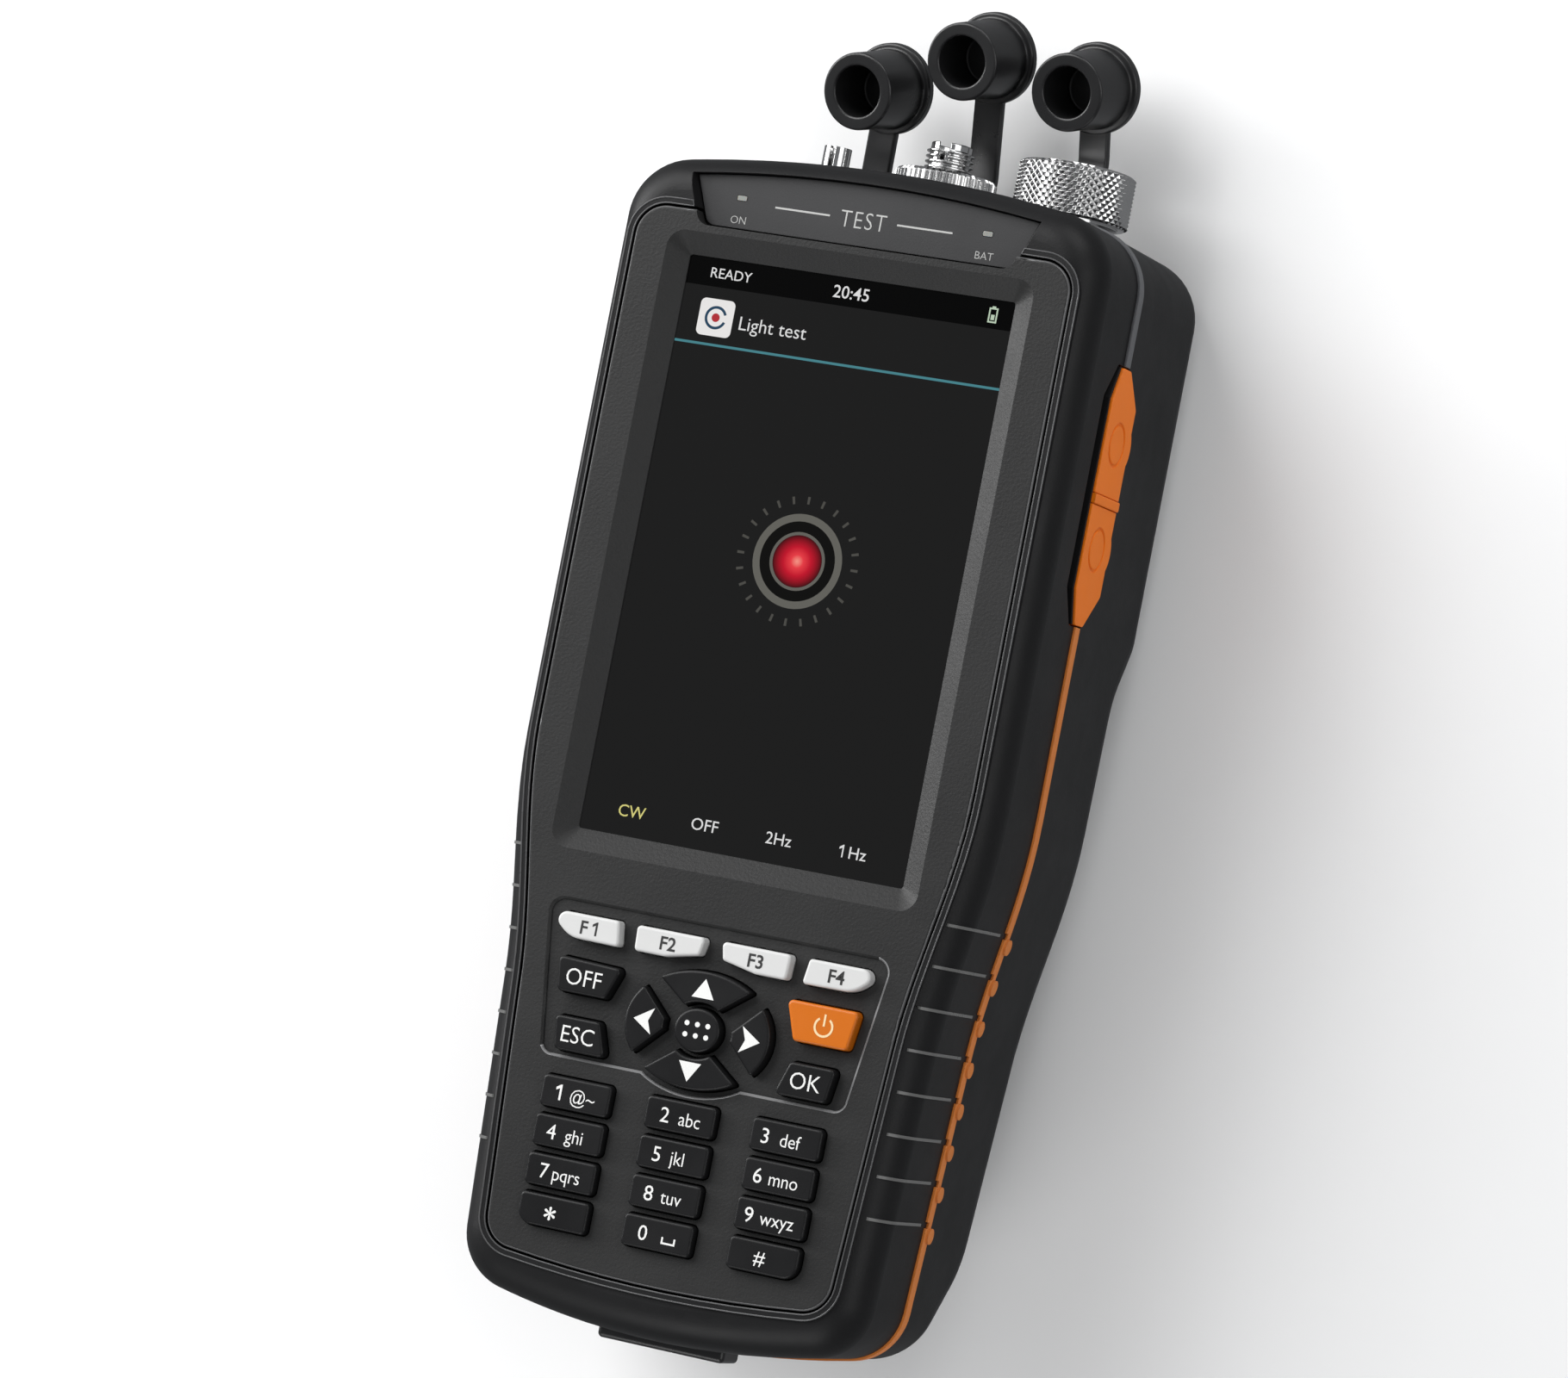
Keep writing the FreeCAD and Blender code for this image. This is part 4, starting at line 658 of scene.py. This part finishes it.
glow_tree.links.new(glow_ramp.outputs["Color"], glow_shader.inputs["Emission Color"])
place_mesh("screen_lamp_glow", disc_mesh(0, LAMP_Y, OVER, GLOW_RADIUS, LAYER), glow_red, "case")


# Keys
# Twenty-five caps of silicone rubber, moulded on the mat behind the panel and coated hard, black but
# for four pale function keys and an orange power key. Their legends are pad printed on top.
KEY_TOP = 57.0 * MM
INK_RISE = 0.03 * MM
# The coat gives the rubber an even, low shine.
key_black = grained_surface("silicone_key_black", "#141415", 0.36, 0.25 * MM, 0.008 * MM, mottle=0.08,
                            IOR=1.45, Specular_IOR_Level=0.3)
key_white = grained_surface("silicone_key_pale", "#cfcfce", 0.4, 0.3 * MM, 0.008 * MM, mottle=0.03,
                            IOR=1.45)
key_orange = grained_surface("silicone_key_orange", "#c9680c", 0.36, 0.3 * MM, 0.008 * MM, mottle=0.04,
                             IOR=1.45)


def legend_ink(name, colour):
    """Pad-printing ink: a thin, matt and even film of one colour."""
    return grained_surface(name, colour, 0.5, 0.12 * MM, 0.003 * MM, mottle=0.03, edge=0.01 * MM)


ink_white = legend_ink("ink_legend_white", "#e6e6e4")
ink_black = legend_ink("ink_legend_black", "#262626")
ink_cream = legend_ink("ink_legend_cream", "#e9cfa2")
DIGIT_CAP = 2.5 * MM
LETTER_CAP = 2.25 * MM
NUMBER_ROW = SCREEN_Y - 88.6 * MM
NUMBER_PITCH = 6.27 * MM
NUMBER_COLUMN = 18.2 * MM

# The figure and the letters of each number key, each with its place across the key in millimetres.
number_legends = [
    [("1", -2.9, "@~", 1.3), ("2", -2.5, "abc", 1.8), ("3", -3.4, "def", 0.8)],
    [("4", -2.8, "ghi", 1.2), ("5", -2.6, "jkl", 1.0), ("6", -3.4, "mno", 1.0)],
    [("7", -2.8, "pqrs", 1.1), ("8", -2.7, "tuv", 1.2), ("9", -3.6, "wxyz", 1.2)],
]


def key_slot(name):
    """The record's slot of a key."""
    if name in ("key_f1", "key_f2", "key_f3", "key_f4"):
        return "key_white"
    return "key_orange" if name == "key_power" else "key_black"


def legend(name, meshes, ink):
    """Printed legend of one key."""
    place_mesh("legend_" + name, join_meshes("legend_" + name, meshes), ink, name)


key_rubbers = {"key_white": key_white, "key_orange": key_orange, "key_black": key_black}
for node in frame["nodes"]:
    if node.startswith("key_"):
        dress(node, key_rubbers[key_slot(node)])
for row, entries in enumerate(number_legends):
    for column, (digit, digit_x, letters, letters_x) in enumerate(entries):
        x = (column - 1) * NUMBER_COLUMN
        y = NUMBER_ROW - row * NUMBER_PITCH
        if digit == "1":
            meshes = [one_mesh(DIGIT_CAP, x + digit_x * MM, y, KEY_TOP, INK_RISE)]
        else:
            meshes = [text_mesh(digit, DIGIT_CAP, x + digit_x * MM, y, KEY_TOP, INK_RISE)]
        meshes.append(text_mesh(letters, LETTER_CAP, x + letters_x * MM, y - 0.15 * MM, KEY_TOP, INK_RISE,
                                weight=-0.004, squeeze=0.92, spacing=0.98))
        legend("key_" + digit, meshes, ink_white)

# The last row: the zero with the cup that stands for a space, the star and the hash.
LAST_ROW = NUMBER_ROW - 3 * NUMBER_PITCH
cup = [(x0 * MM, x1 * MM, LAST_ROW + y0 * MM, LAST_ROW + y1 * MM, KEY_TOP, KEY_TOP + INK_RISE)
       for x0, x1, y0, y1 in ((0.9, 3.3, -1.2, -0.9), (0.9, 1.2, -0.9, -0.1), (3.0, 3.3, -0.9, -0.1))]
legend("key_0", [text_mesh("0", DIGIT_CAP, -2.4 * MM, LAST_ROW, KEY_TOP, INK_RISE),
                 slabs_mesh("space_mark", cup)], ink_white)
legend("key_star", [text_mesh("*", 3.4 * MM, -NUMBER_COLUMN - 0.4 * MM, LAST_ROW - 0.9 * MM, KEY_TOP,
                              INK_RISE, weight=0.012)], ink_white)
legend("key_hash", [text_mesh("#", 2.4 * MM, NUMBER_COLUMN - 0.5 * MM, LAST_ROW, KEY_TOP, INK_RISE)],
       ink_white)

# The function keys, and the words on the keys beside the arrows.
F_ROW = SCREEN_Y - 62.2 * MM
F_CAP = 2.2 * MM
F_WEIGHT = 0.016
legend("key_f1", [text_mesh("F", F_CAP, -22.3 * MM, F_ROW, KEY_TOP, INK_RISE, weight=F_WEIGHT),
                  one_mesh(F_CAP, -20.4 * MM, F_ROW, KEY_TOP, INK_RISE, 0.15)], ink_black)
for number, x in ((2, -7.6), (3, 7.6), (4, 21.4)):
    legend("key_f%d" % number,
           [text_mesh("F%d" % number, F_CAP, x * MM, F_ROW, KEY_TOP, INK_RISE, weight=F_WEIGHT)], ink_black)
for name, words, x, y in (("key_off", "OFF", -20.6, -70.1), ("key_esc", "ESC", -19.8, -79.2),
                          ("key_ok", "OK", 19.6, -79.2)):
    legend(name, [text_mesh(words, 2.8 * MM, x * MM, SCREEN_Y + y * MM, KEY_TOP, INK_RISE,
                            weight=-0.006, squeeze=0.95)], ink_white)

# The arrows: plain triangles up and down, and triangles with a hollow back to the sides.
PAD_Y = SCREEN_Y - 74.7 * MM
for name, points in (
        ("key_up", [(0, 8.2), (-1.9, 5.1), (1.9, 5.1)]),
        ("key_down", [(0, -8.2), (1.9, -5.1), (-1.9, -5.1)]),
        ("key_left", [(-10.9, 0), (-7.6, -2.1), (-8.4, 0), (-7.6, 2.1)]),
        ("key_right", [(10.9, 0), (7.6, 2.1), (8.4, 0), (7.6, -2.1)])):
    legend(name, [flat_shape([(x * MM, PAD_Y + y * MM) for x, y in points], KEY_TOP, INK_RISE)], ink_white)
legend("key_menu", [disc_mesh(dx * MM, PAD_Y + dy * MM, KEY_TOP, 0.42 * MM, INK_RISE, 16)
                    for dx in (-1.8, 0.0, 1.8) for dy in (-0.9, 0.9)], ink_white)

# The sign on the power key: a ring open at the top with a bar in the gap.
POWER_X = 20.9 * MM
POWER_Y = SCREEN_Y - 70.3 * MM
POWER_BAR_HALF = 0.17 * MM
power_bar = (POWER_X - POWER_BAR_HALF, POWER_X + POWER_BAR_HALF, POWER_Y + 0.1 * MM, POWER_Y + 2.0 * MM,
             KEY_TOP, KEY_TOP + INK_RISE)
legend("key_power", [arc_mesh(POWER_X, POWER_Y, KEY_TOP, 1.3 * MM, 1.65 * MM, 125, 290, INK_RISE),
                     slabs_mesh("bar", [power_bar])], ink_cream)


# Side cover and bottom cover
# The side cover over the sockets is two orange flaps of soft polyurethane that bend on a rib, each with
# a ring pressed in for the fingertip. The bottom cover is black rubber on a living hinge.

# Polyurethane is a saturated orange with a silky shine.
cover_rubber = grained_surface("tpu_cover_orange", "#ea760c", 0.42, 0.35 * MM, 0.010 * MM, mottle=0.06,
                               edge=0.25 * MM, IOR=1.5, Specular_IOR_Level=0.25)
# EPDM rubber is black with a soft, wide highlight.
soft_black = grained_surface("epdm_rubber_black", "#1b1b1c", 0.3, 0.3 * MM, 0.010 * MM, mottle=0.12,
                             edge=0.25 * MM, IOR=1.52, Specular_IOR_Level=0.5)
for name in ("port_cover_upper", "port_cover_lower"):
    softened(name, cover_rubber, 0.3 * MM)
dress("port_cover_spine", cover_rubber)
dress("bottom_cover", soft_black)


# Optical ports
# Three ports of turned brass under bright nickel, screwed into the head: the fault locator's plain
# sleeve, the threaded adapter with its serrated nut, and the power meter's port under its screw cap.
PORT_Z = 18.5 * MM
# Bright nickel mirrors, and the lathe's fine rings, drawn at 0.1 mm, blur what it mirrors.
bright_nickel = metal_surface("brass_nickel_plated", "#cecece", 0.13, 0.1 * MM, 0.0015 * MM,
                              (0.02, 1.0, 0.02))
dress("vfl_port", bright_nickel)
dress("meter_port", bright_nickel)


def turned(name, profile, x, steps=72, smooth_angle=30.0):
    """Lathe-turned shape on a port's axis from a line of (radius, height) points in millimetres."""
    shape = bmesh.new()
    points = [shape.verts.new((x + radius * MM, height * MM, PORT_Z)) for radius, height in profile]
    edges = [shape.edges.new(pair) for pair in zip(points, points[1:])]
    bmesh.ops.spin(shape, geom=points + edges, cent=(x, 0, PORT_Z), axis=(0, 1, 0), angle=2 * math.pi,
                   steps=steps, use_merge=True)
    bmesh.ops.remove_doubles(shape, verts=shape.verts, dist=SEAM_WELD)
    bmesh.ops.dissolve_degenerate(shape, edges=shape.edges, dist=SEAM_WELD)
    return finished(shape, name, smooth_angle)


# The threaded adapter: a shank, a thread cut as rings and drawn at 0.9 mm so that it shows, a keyway
# and a sleeve with a ceramic bore. The lengths of the ports are in millimetres.
FC_X = -1.0
THREAD_PITCH = 0.9
THREAD_CREST = 4.0
THREAD_ROOT = 3.42
fc_low, fc_high = (corner.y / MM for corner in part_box("fc_adapter"))
thread_low = fc_high - 4.9
profile = [(0, fc_low), (6.3, fc_low), (6.4, fc_low + 0.1), (6.4, fc_low + 13.9), (5.0, fc_low + 13.9),
           (5.0, thread_low - 4.9), (4.5, thread_low - 4.9), (4.5, thread_low), (THREAD_ROOT, thread_low)]
turn_low = thread_low + 0.35
while turn_low + THREAD_PITCH < fc_high - 0.15:
    profile += [(THREAD_ROOT, turn_low), (THREAD_CREST, turn_low + 0.3 * THREAD_PITCH),
                (THREAD_CREST, turn_low + 0.5 * THREAD_PITCH), (THREAD_ROOT, turn_low + 0.8 * THREAD_PITCH)]
    turn_low += THREAD_PITCH
profile += [(THREAD_ROOT, fc_high - 0.15), (THREAD_ROOT - 0.15, fc_high), (3.1, fc_high),
            (3.0, fc_high - 0.1), (3.0, thread_low - 3.9), (1.9, thread_low - 3.9), (1.9, fc_high - 1.45),
            (1.75, fc_high - 1.3), (1.36, fc_high - 1.3), (1.26, fc_high - 1.4), (1.26, 28.8), (0, 28.8)]
keyway = ((FC_X - 1.05) * MM, (FC_X + 1.05) * MM, (fc_high - 3.0) * MM, (fc_high + 1.0) * MM,
          PORT_Z + 2.2 * MM, PORT_Z + 6.0 * MM)
barrel = carved(turned("fc_barrel", profile, FC_X * MM, 96, 25.0), slabs_mesh("keyway", [keyway]))
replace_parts(place_mesh("fc_barrel_threaded", barrel, bright_nickel, "case"), "fc_adapter")

# The serrated nut at its foot: forty-eight square teeth round a broad ring.
NUT_TEETH = 48
NUT_GROOVE = 0.45 * MM
nut_low, nut_high = (corner.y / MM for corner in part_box("fc_ring"))
nut = turned("fc_nut", [(4.56, nut_low), (8.1, nut_low), (8.5, nut_low + 0.4), (8.5, nut_high - 0.5),
                        (8.0, nut_high), (4.56, nut_high), (4.56, nut_low)], FC_X * MM, 4 * NUT_TEETH, 20.0)
nut_shape = bmesh.new()
nut_shape.from_mesh(nut)
for vert in nut_shape.verts:
    out = Vector((vert.co.x - FC_X * MM, 0, vert.co.z - PORT_Z))
    place = round(math.atan2(out.z, out.x) / (2 * math.pi) * 4 * NUT_TEETH)
    if out.length > 7.5 * MM and place % 4 in (0, 1):
        vert.co -= out.normalized() * NUT_GROOVE
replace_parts(place_mesh("fc_nut_serrated", finished(nut_shape, "fc_nut", 20.0), bright_nickel, "fc_ring"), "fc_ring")

# The power meter's screw cap: a diamond knurl of about 1.4 mm all over its side, cut by sinking every
# other point of a fine grid, and a small bore in its roof.
METER_X = 21.4
KNURL_ROUND = 88
KNURL_ROWS = 12
KNURL_RADIUS = 9.7
KNURL_EDGE = 0.4
KNURL_DEPTH = 0.42 * MM
cap_low, cap_high = (corner.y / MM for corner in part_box("meter_adapter"))
row_height = (cap_high - cap_low - 2 * KNURL_EDGE) / KNURL_ROWS
profile = [(8.06, cap_low), (9.1, cap_low)]
profile += [(KNURL_RADIUS, cap_low + KNURL_EDGE + i * row_height) for i in range(KNURL_ROWS + 1)]
profile += [(9.1, cap_high), (1.36, cap_high), (1.26, cap_high - 0.1), (1.26, cap_high - 2.54),
            (8.06, cap_high - 2.54), (8.06, cap_low)]
knurled = turned("meter_knurl", profile, METER_X * MM, KNURL_ROUND)
knurl_shape = bmesh.new()
knurl_shape.from_mesh(knurled)
side_faces = set()
for vert in knurl_shape.verts:
    out = Vector((vert.co.x - METER_X * MM, 0, vert.co.z - PORT_Z))
    if out.length > (KNURL_RADIUS - 0.2) * MM:
        across = round(math.atan2(out.z, out.x) / (2 * math.pi) * KNURL_ROUND)
        along = round((vert.co.y / MM - cap_low - KNURL_EDGE) / row_height)
        side_faces.update(vert.link_faces)
        if (across + along) % 2 == 0:
            vert.co -= out.normalized() * KNURL_DEPTH
flat = [f for f in side_faces if len(f.verts) == 4]
bmesh.ops.triangulate(knurl_shape, faces=flat, quad_method="SHORT_EDGE", ngon_method="BEAUTY")
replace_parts(place_mesh("meter_cap_knurled", finished(knurl_shape, "meter_knurl", 12.0), bright_nickel,
                       "meter_adapter"), "meter_adapter")


# Dust caps
# Each is moulded in one piece of soft black rubber: a short thick-walled barrel on a round flange, and
# a flat strap that stands up from its anchor in the case and bends over towards the front.
CAP_TILT = 15.5
CAP_YAW = -6.0
STRAP_WIDTH = 5.2
STRAP_THICKNESS = 1.5
BEND_REACH = 1.6

# For each cap the pivot of its strap, the strap's upright length and its length to the middle of the
# flange, all in millimetres, and its lean in degrees.
dust_caps = {
    "vfl_dust_cap": ((-18.1, 39.5608, 7.3), 2.0, 18.0, 7.5),
    "fc_dust_cap": ((0.9, 39.7681, 7.3), 5.0, 25.0, 1.5),
    "meter_dust_cap": ((19.9, 39.1649, 7.3), 11.0, 23.0, -1.5),
}
dress("cap_anchors", soft_black)


def strap_mesh(upright, reach):
    """Flat strap along Y from its round foot, rounded at its edges and bent over at the knee."""
    shape = bmesh.new()
    half = STRAP_WIDTH / 2
    skin = STRAP_THICKNESS / 2
    add_slab(shape, -half * MM, half * MM, -skin * MM, reach * MM, -skin * MM, skin * MM)
    long_edges = [e for e in shape.edges if abs(e.verts[0].co.y - e.verts[1].co.y) > MM]
    bmesh.ops.subdivide_edges(shape, edges=long_edges, cuts=40)
    ring = [e for e in shape.edges if e.calc_face_angle(0) > 1.0]
    bmesh.ops.bevel(shape, geom=ring, offset=0.35 * MM, offset_type="OFFSET", affect="EDGES", segments=3,
                    profile=0.5, material=-1, clamp_overlap=True)
    for vert in shape.verts:
        past = vert.co.y / MM - upright
        share = min(max((past + BEND_REACH) / (2 * BEND_REACH), 0.0), 1.0)
        bend = Matrix.Rotation(math.radians(CAP_TILT * share), 3, "X")
        knee = Vector((0, upright * MM, 0))
        vert.co = knee + bend @ (vert.co - knee)
    return finished(shape, "strap", 40.0)


def cap_head_mesh(upright, reach):
    """Barrel and flange spun about the cap's own axis, with every rim rounded."""
    shape = bmesh.new()
    profile = [(0, -0.9), (7.6, -0.9), (7.6, 0.9), (6.5, 0.9), (6.4, 11.6), (4.2, 11.6), (4.2, 2.0),
               (0, 2.0)]
    points = [shape.verts.new((radius * MM, 0, height * MM)) for radius, height in profile]
    edges = [shape.edges.new(pair) for pair in zip(points, points[1:])]
    bmesh.ops.spin(shape, geom=points + edges, cent=(0, 0, 0), axis=(0, 0, 1), angle=2 * math.pi, steps=96,
                   use_merge=True)
    bmesh.ops.remove_doubles(shape, verts=shape.verts, dist=SEAM_WELD)
    bmesh.ops.dissolve_degenerate(shape, edges=shape.edges, dist=SEAM_WELD)
    rims = [e for e in shape.edges if e.is_manifold and e.calc_face_angle(0) > 0.8]
    bmesh.ops.bevel(shape, geom=rims, offset=0.4 * MM, offset_type="OFFSET", affect="EDGES", segments=4,
                    profile=0.5, material=-1, clamp_overlap=True)
    tilt = Matrix.Rotation(math.radians(CAP_TILT), 4, "X")
    mesh = finished(shape, "cap_head", 40.0)
    past_knee = Matrix.Translation((0, (reach - upright) * MM, 0))
    mesh.transform(Matrix.Translation((0, upright * MM, 0)) @ tilt @ past_knee)
    return mesh


for name, (pivot, upright, reach, lean) in dust_caps.items():
    mesh = join_meshes(name, [strap_mesh(upright, reach), cap_head_mesh(upright, reach)])
    lean_turn = Matrix.Rotation(math.radians(-lean), 4, "Z")
    yaw_turn = Matrix.Rotation(math.radians(CAP_YAW), 4, "Y")
    mesh.transform(Matrix.Translation(Vector(pivot) * MM) @ lean_turn @ yaw_turn)
    piece = place_mesh(name + "_moulded", mesh, soft_black, name)
    piece.modifiers.new("even_light", "WEIGHTED_NORMAL").keep_sharp = True
    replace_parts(piece, name)


# Floor, light and camera
# A plain pale floor, five large soft lights placed so that the screen mirrors none of them, a dim even
# sky, and the photograph's viewpoint.
FLOOR_DROP = 0.4 * MM
SKY_STRENGTH = 0.24
floor_shape = bmesh.new()
bmesh.ops.create_grid(floor_shape, x_segments=1, y_segments=1, size=6.0)
floor = bpy.data.objects.new("floor", finished(floor_shape, "floor"))
bpy.context.scene.collection.objects.link(floor)
floor.location.z = -FLOOR_DROP
# Heavy paper is almost white and has no shine.
floor_paint = grained_surface("paper_floor_pale", "#f6f6f6", 0.9, 2.0 * MM, 0.01 * MM, mottle=0.01,
                              Specular_IOR_Level=0.1)
floor.data.materials.append(floor_paint)
floor.visible_glossy = False

world = bpy.data.worlds.new("studio")
bpy.context.scene.world = world
world.use_nodes = True
sky = world.node_tree.nodes["Background"]
sky.inputs["Color"].default_value = (0.95, 0.97, 1.0, 1.0)
sky.inputs["Strength"].default_value = SKY_STRENGTH


def soft_light(name, place, size, watts):
    """Square area light turned to the middle of the floor."""
    lamp = bpy.data.lights.new(name, "AREA")
    lamp.size = size
    lamp.energy = watts
    holder = bpy.data.objects.new(name, lamp)
    bpy.context.scene.collection.objects.link(holder)
    holder.location = place
    holder.rotation_euler = (-Vector(place)).to_track_quat("-Z", "Y").to_euler()


soft_light("key_light", (-0.85, 0.75, 0.95), 1.1, 20.0)
soft_light("left_light", (-1.5, 0.3, 0.5), 0.7, 16.0)
soft_light("right_light", (1.3, 0.1, 1.0), 0.9, 5.5)
soft_light("front_light", (-0.2, -1.4, 0.9), 0.9, 8.0)
soft_light("back_light", (0.5, 1.4, 0.8), 0.9, 8.0)

# The viewpoint: the camera's own three directions, its place in metres and its lens in millimetres.
CAMERA_RIGHT = Vector((0.91314666, 0.19047468, -0.36039225))
CAMERA_UP = Vector((-0.16283333, 0.98095653, 0.10587538))
CAMERA_BACK = Vector((0.37369571, -0.03799588, 0.9267728))
CAMERA_PLACE = Vector((0.35798, -0.08246, 0.936))
LENS_LENGTH = 138.46
lens = bpy.data.cameras.new("camera")
lens.sensor_width = 36.0
lens.lens = LENS_LENGTH
lens.clip_start = 0.05
camera = bpy.data.objects.new("camera", lens)
bpy.context.scene.collection.objects.link(camera)
turn = Matrix((CAMERA_RIGHT, CAMERA_UP, CAMERA_BACK)).transposed().to_4x4()
camera.matrix_world = Matrix.Translation(CAMERA_PLACE) @ turn
bpy.context.scene.camera = camera
bpy.context.scene.view_settings.view_transform = "Standard"
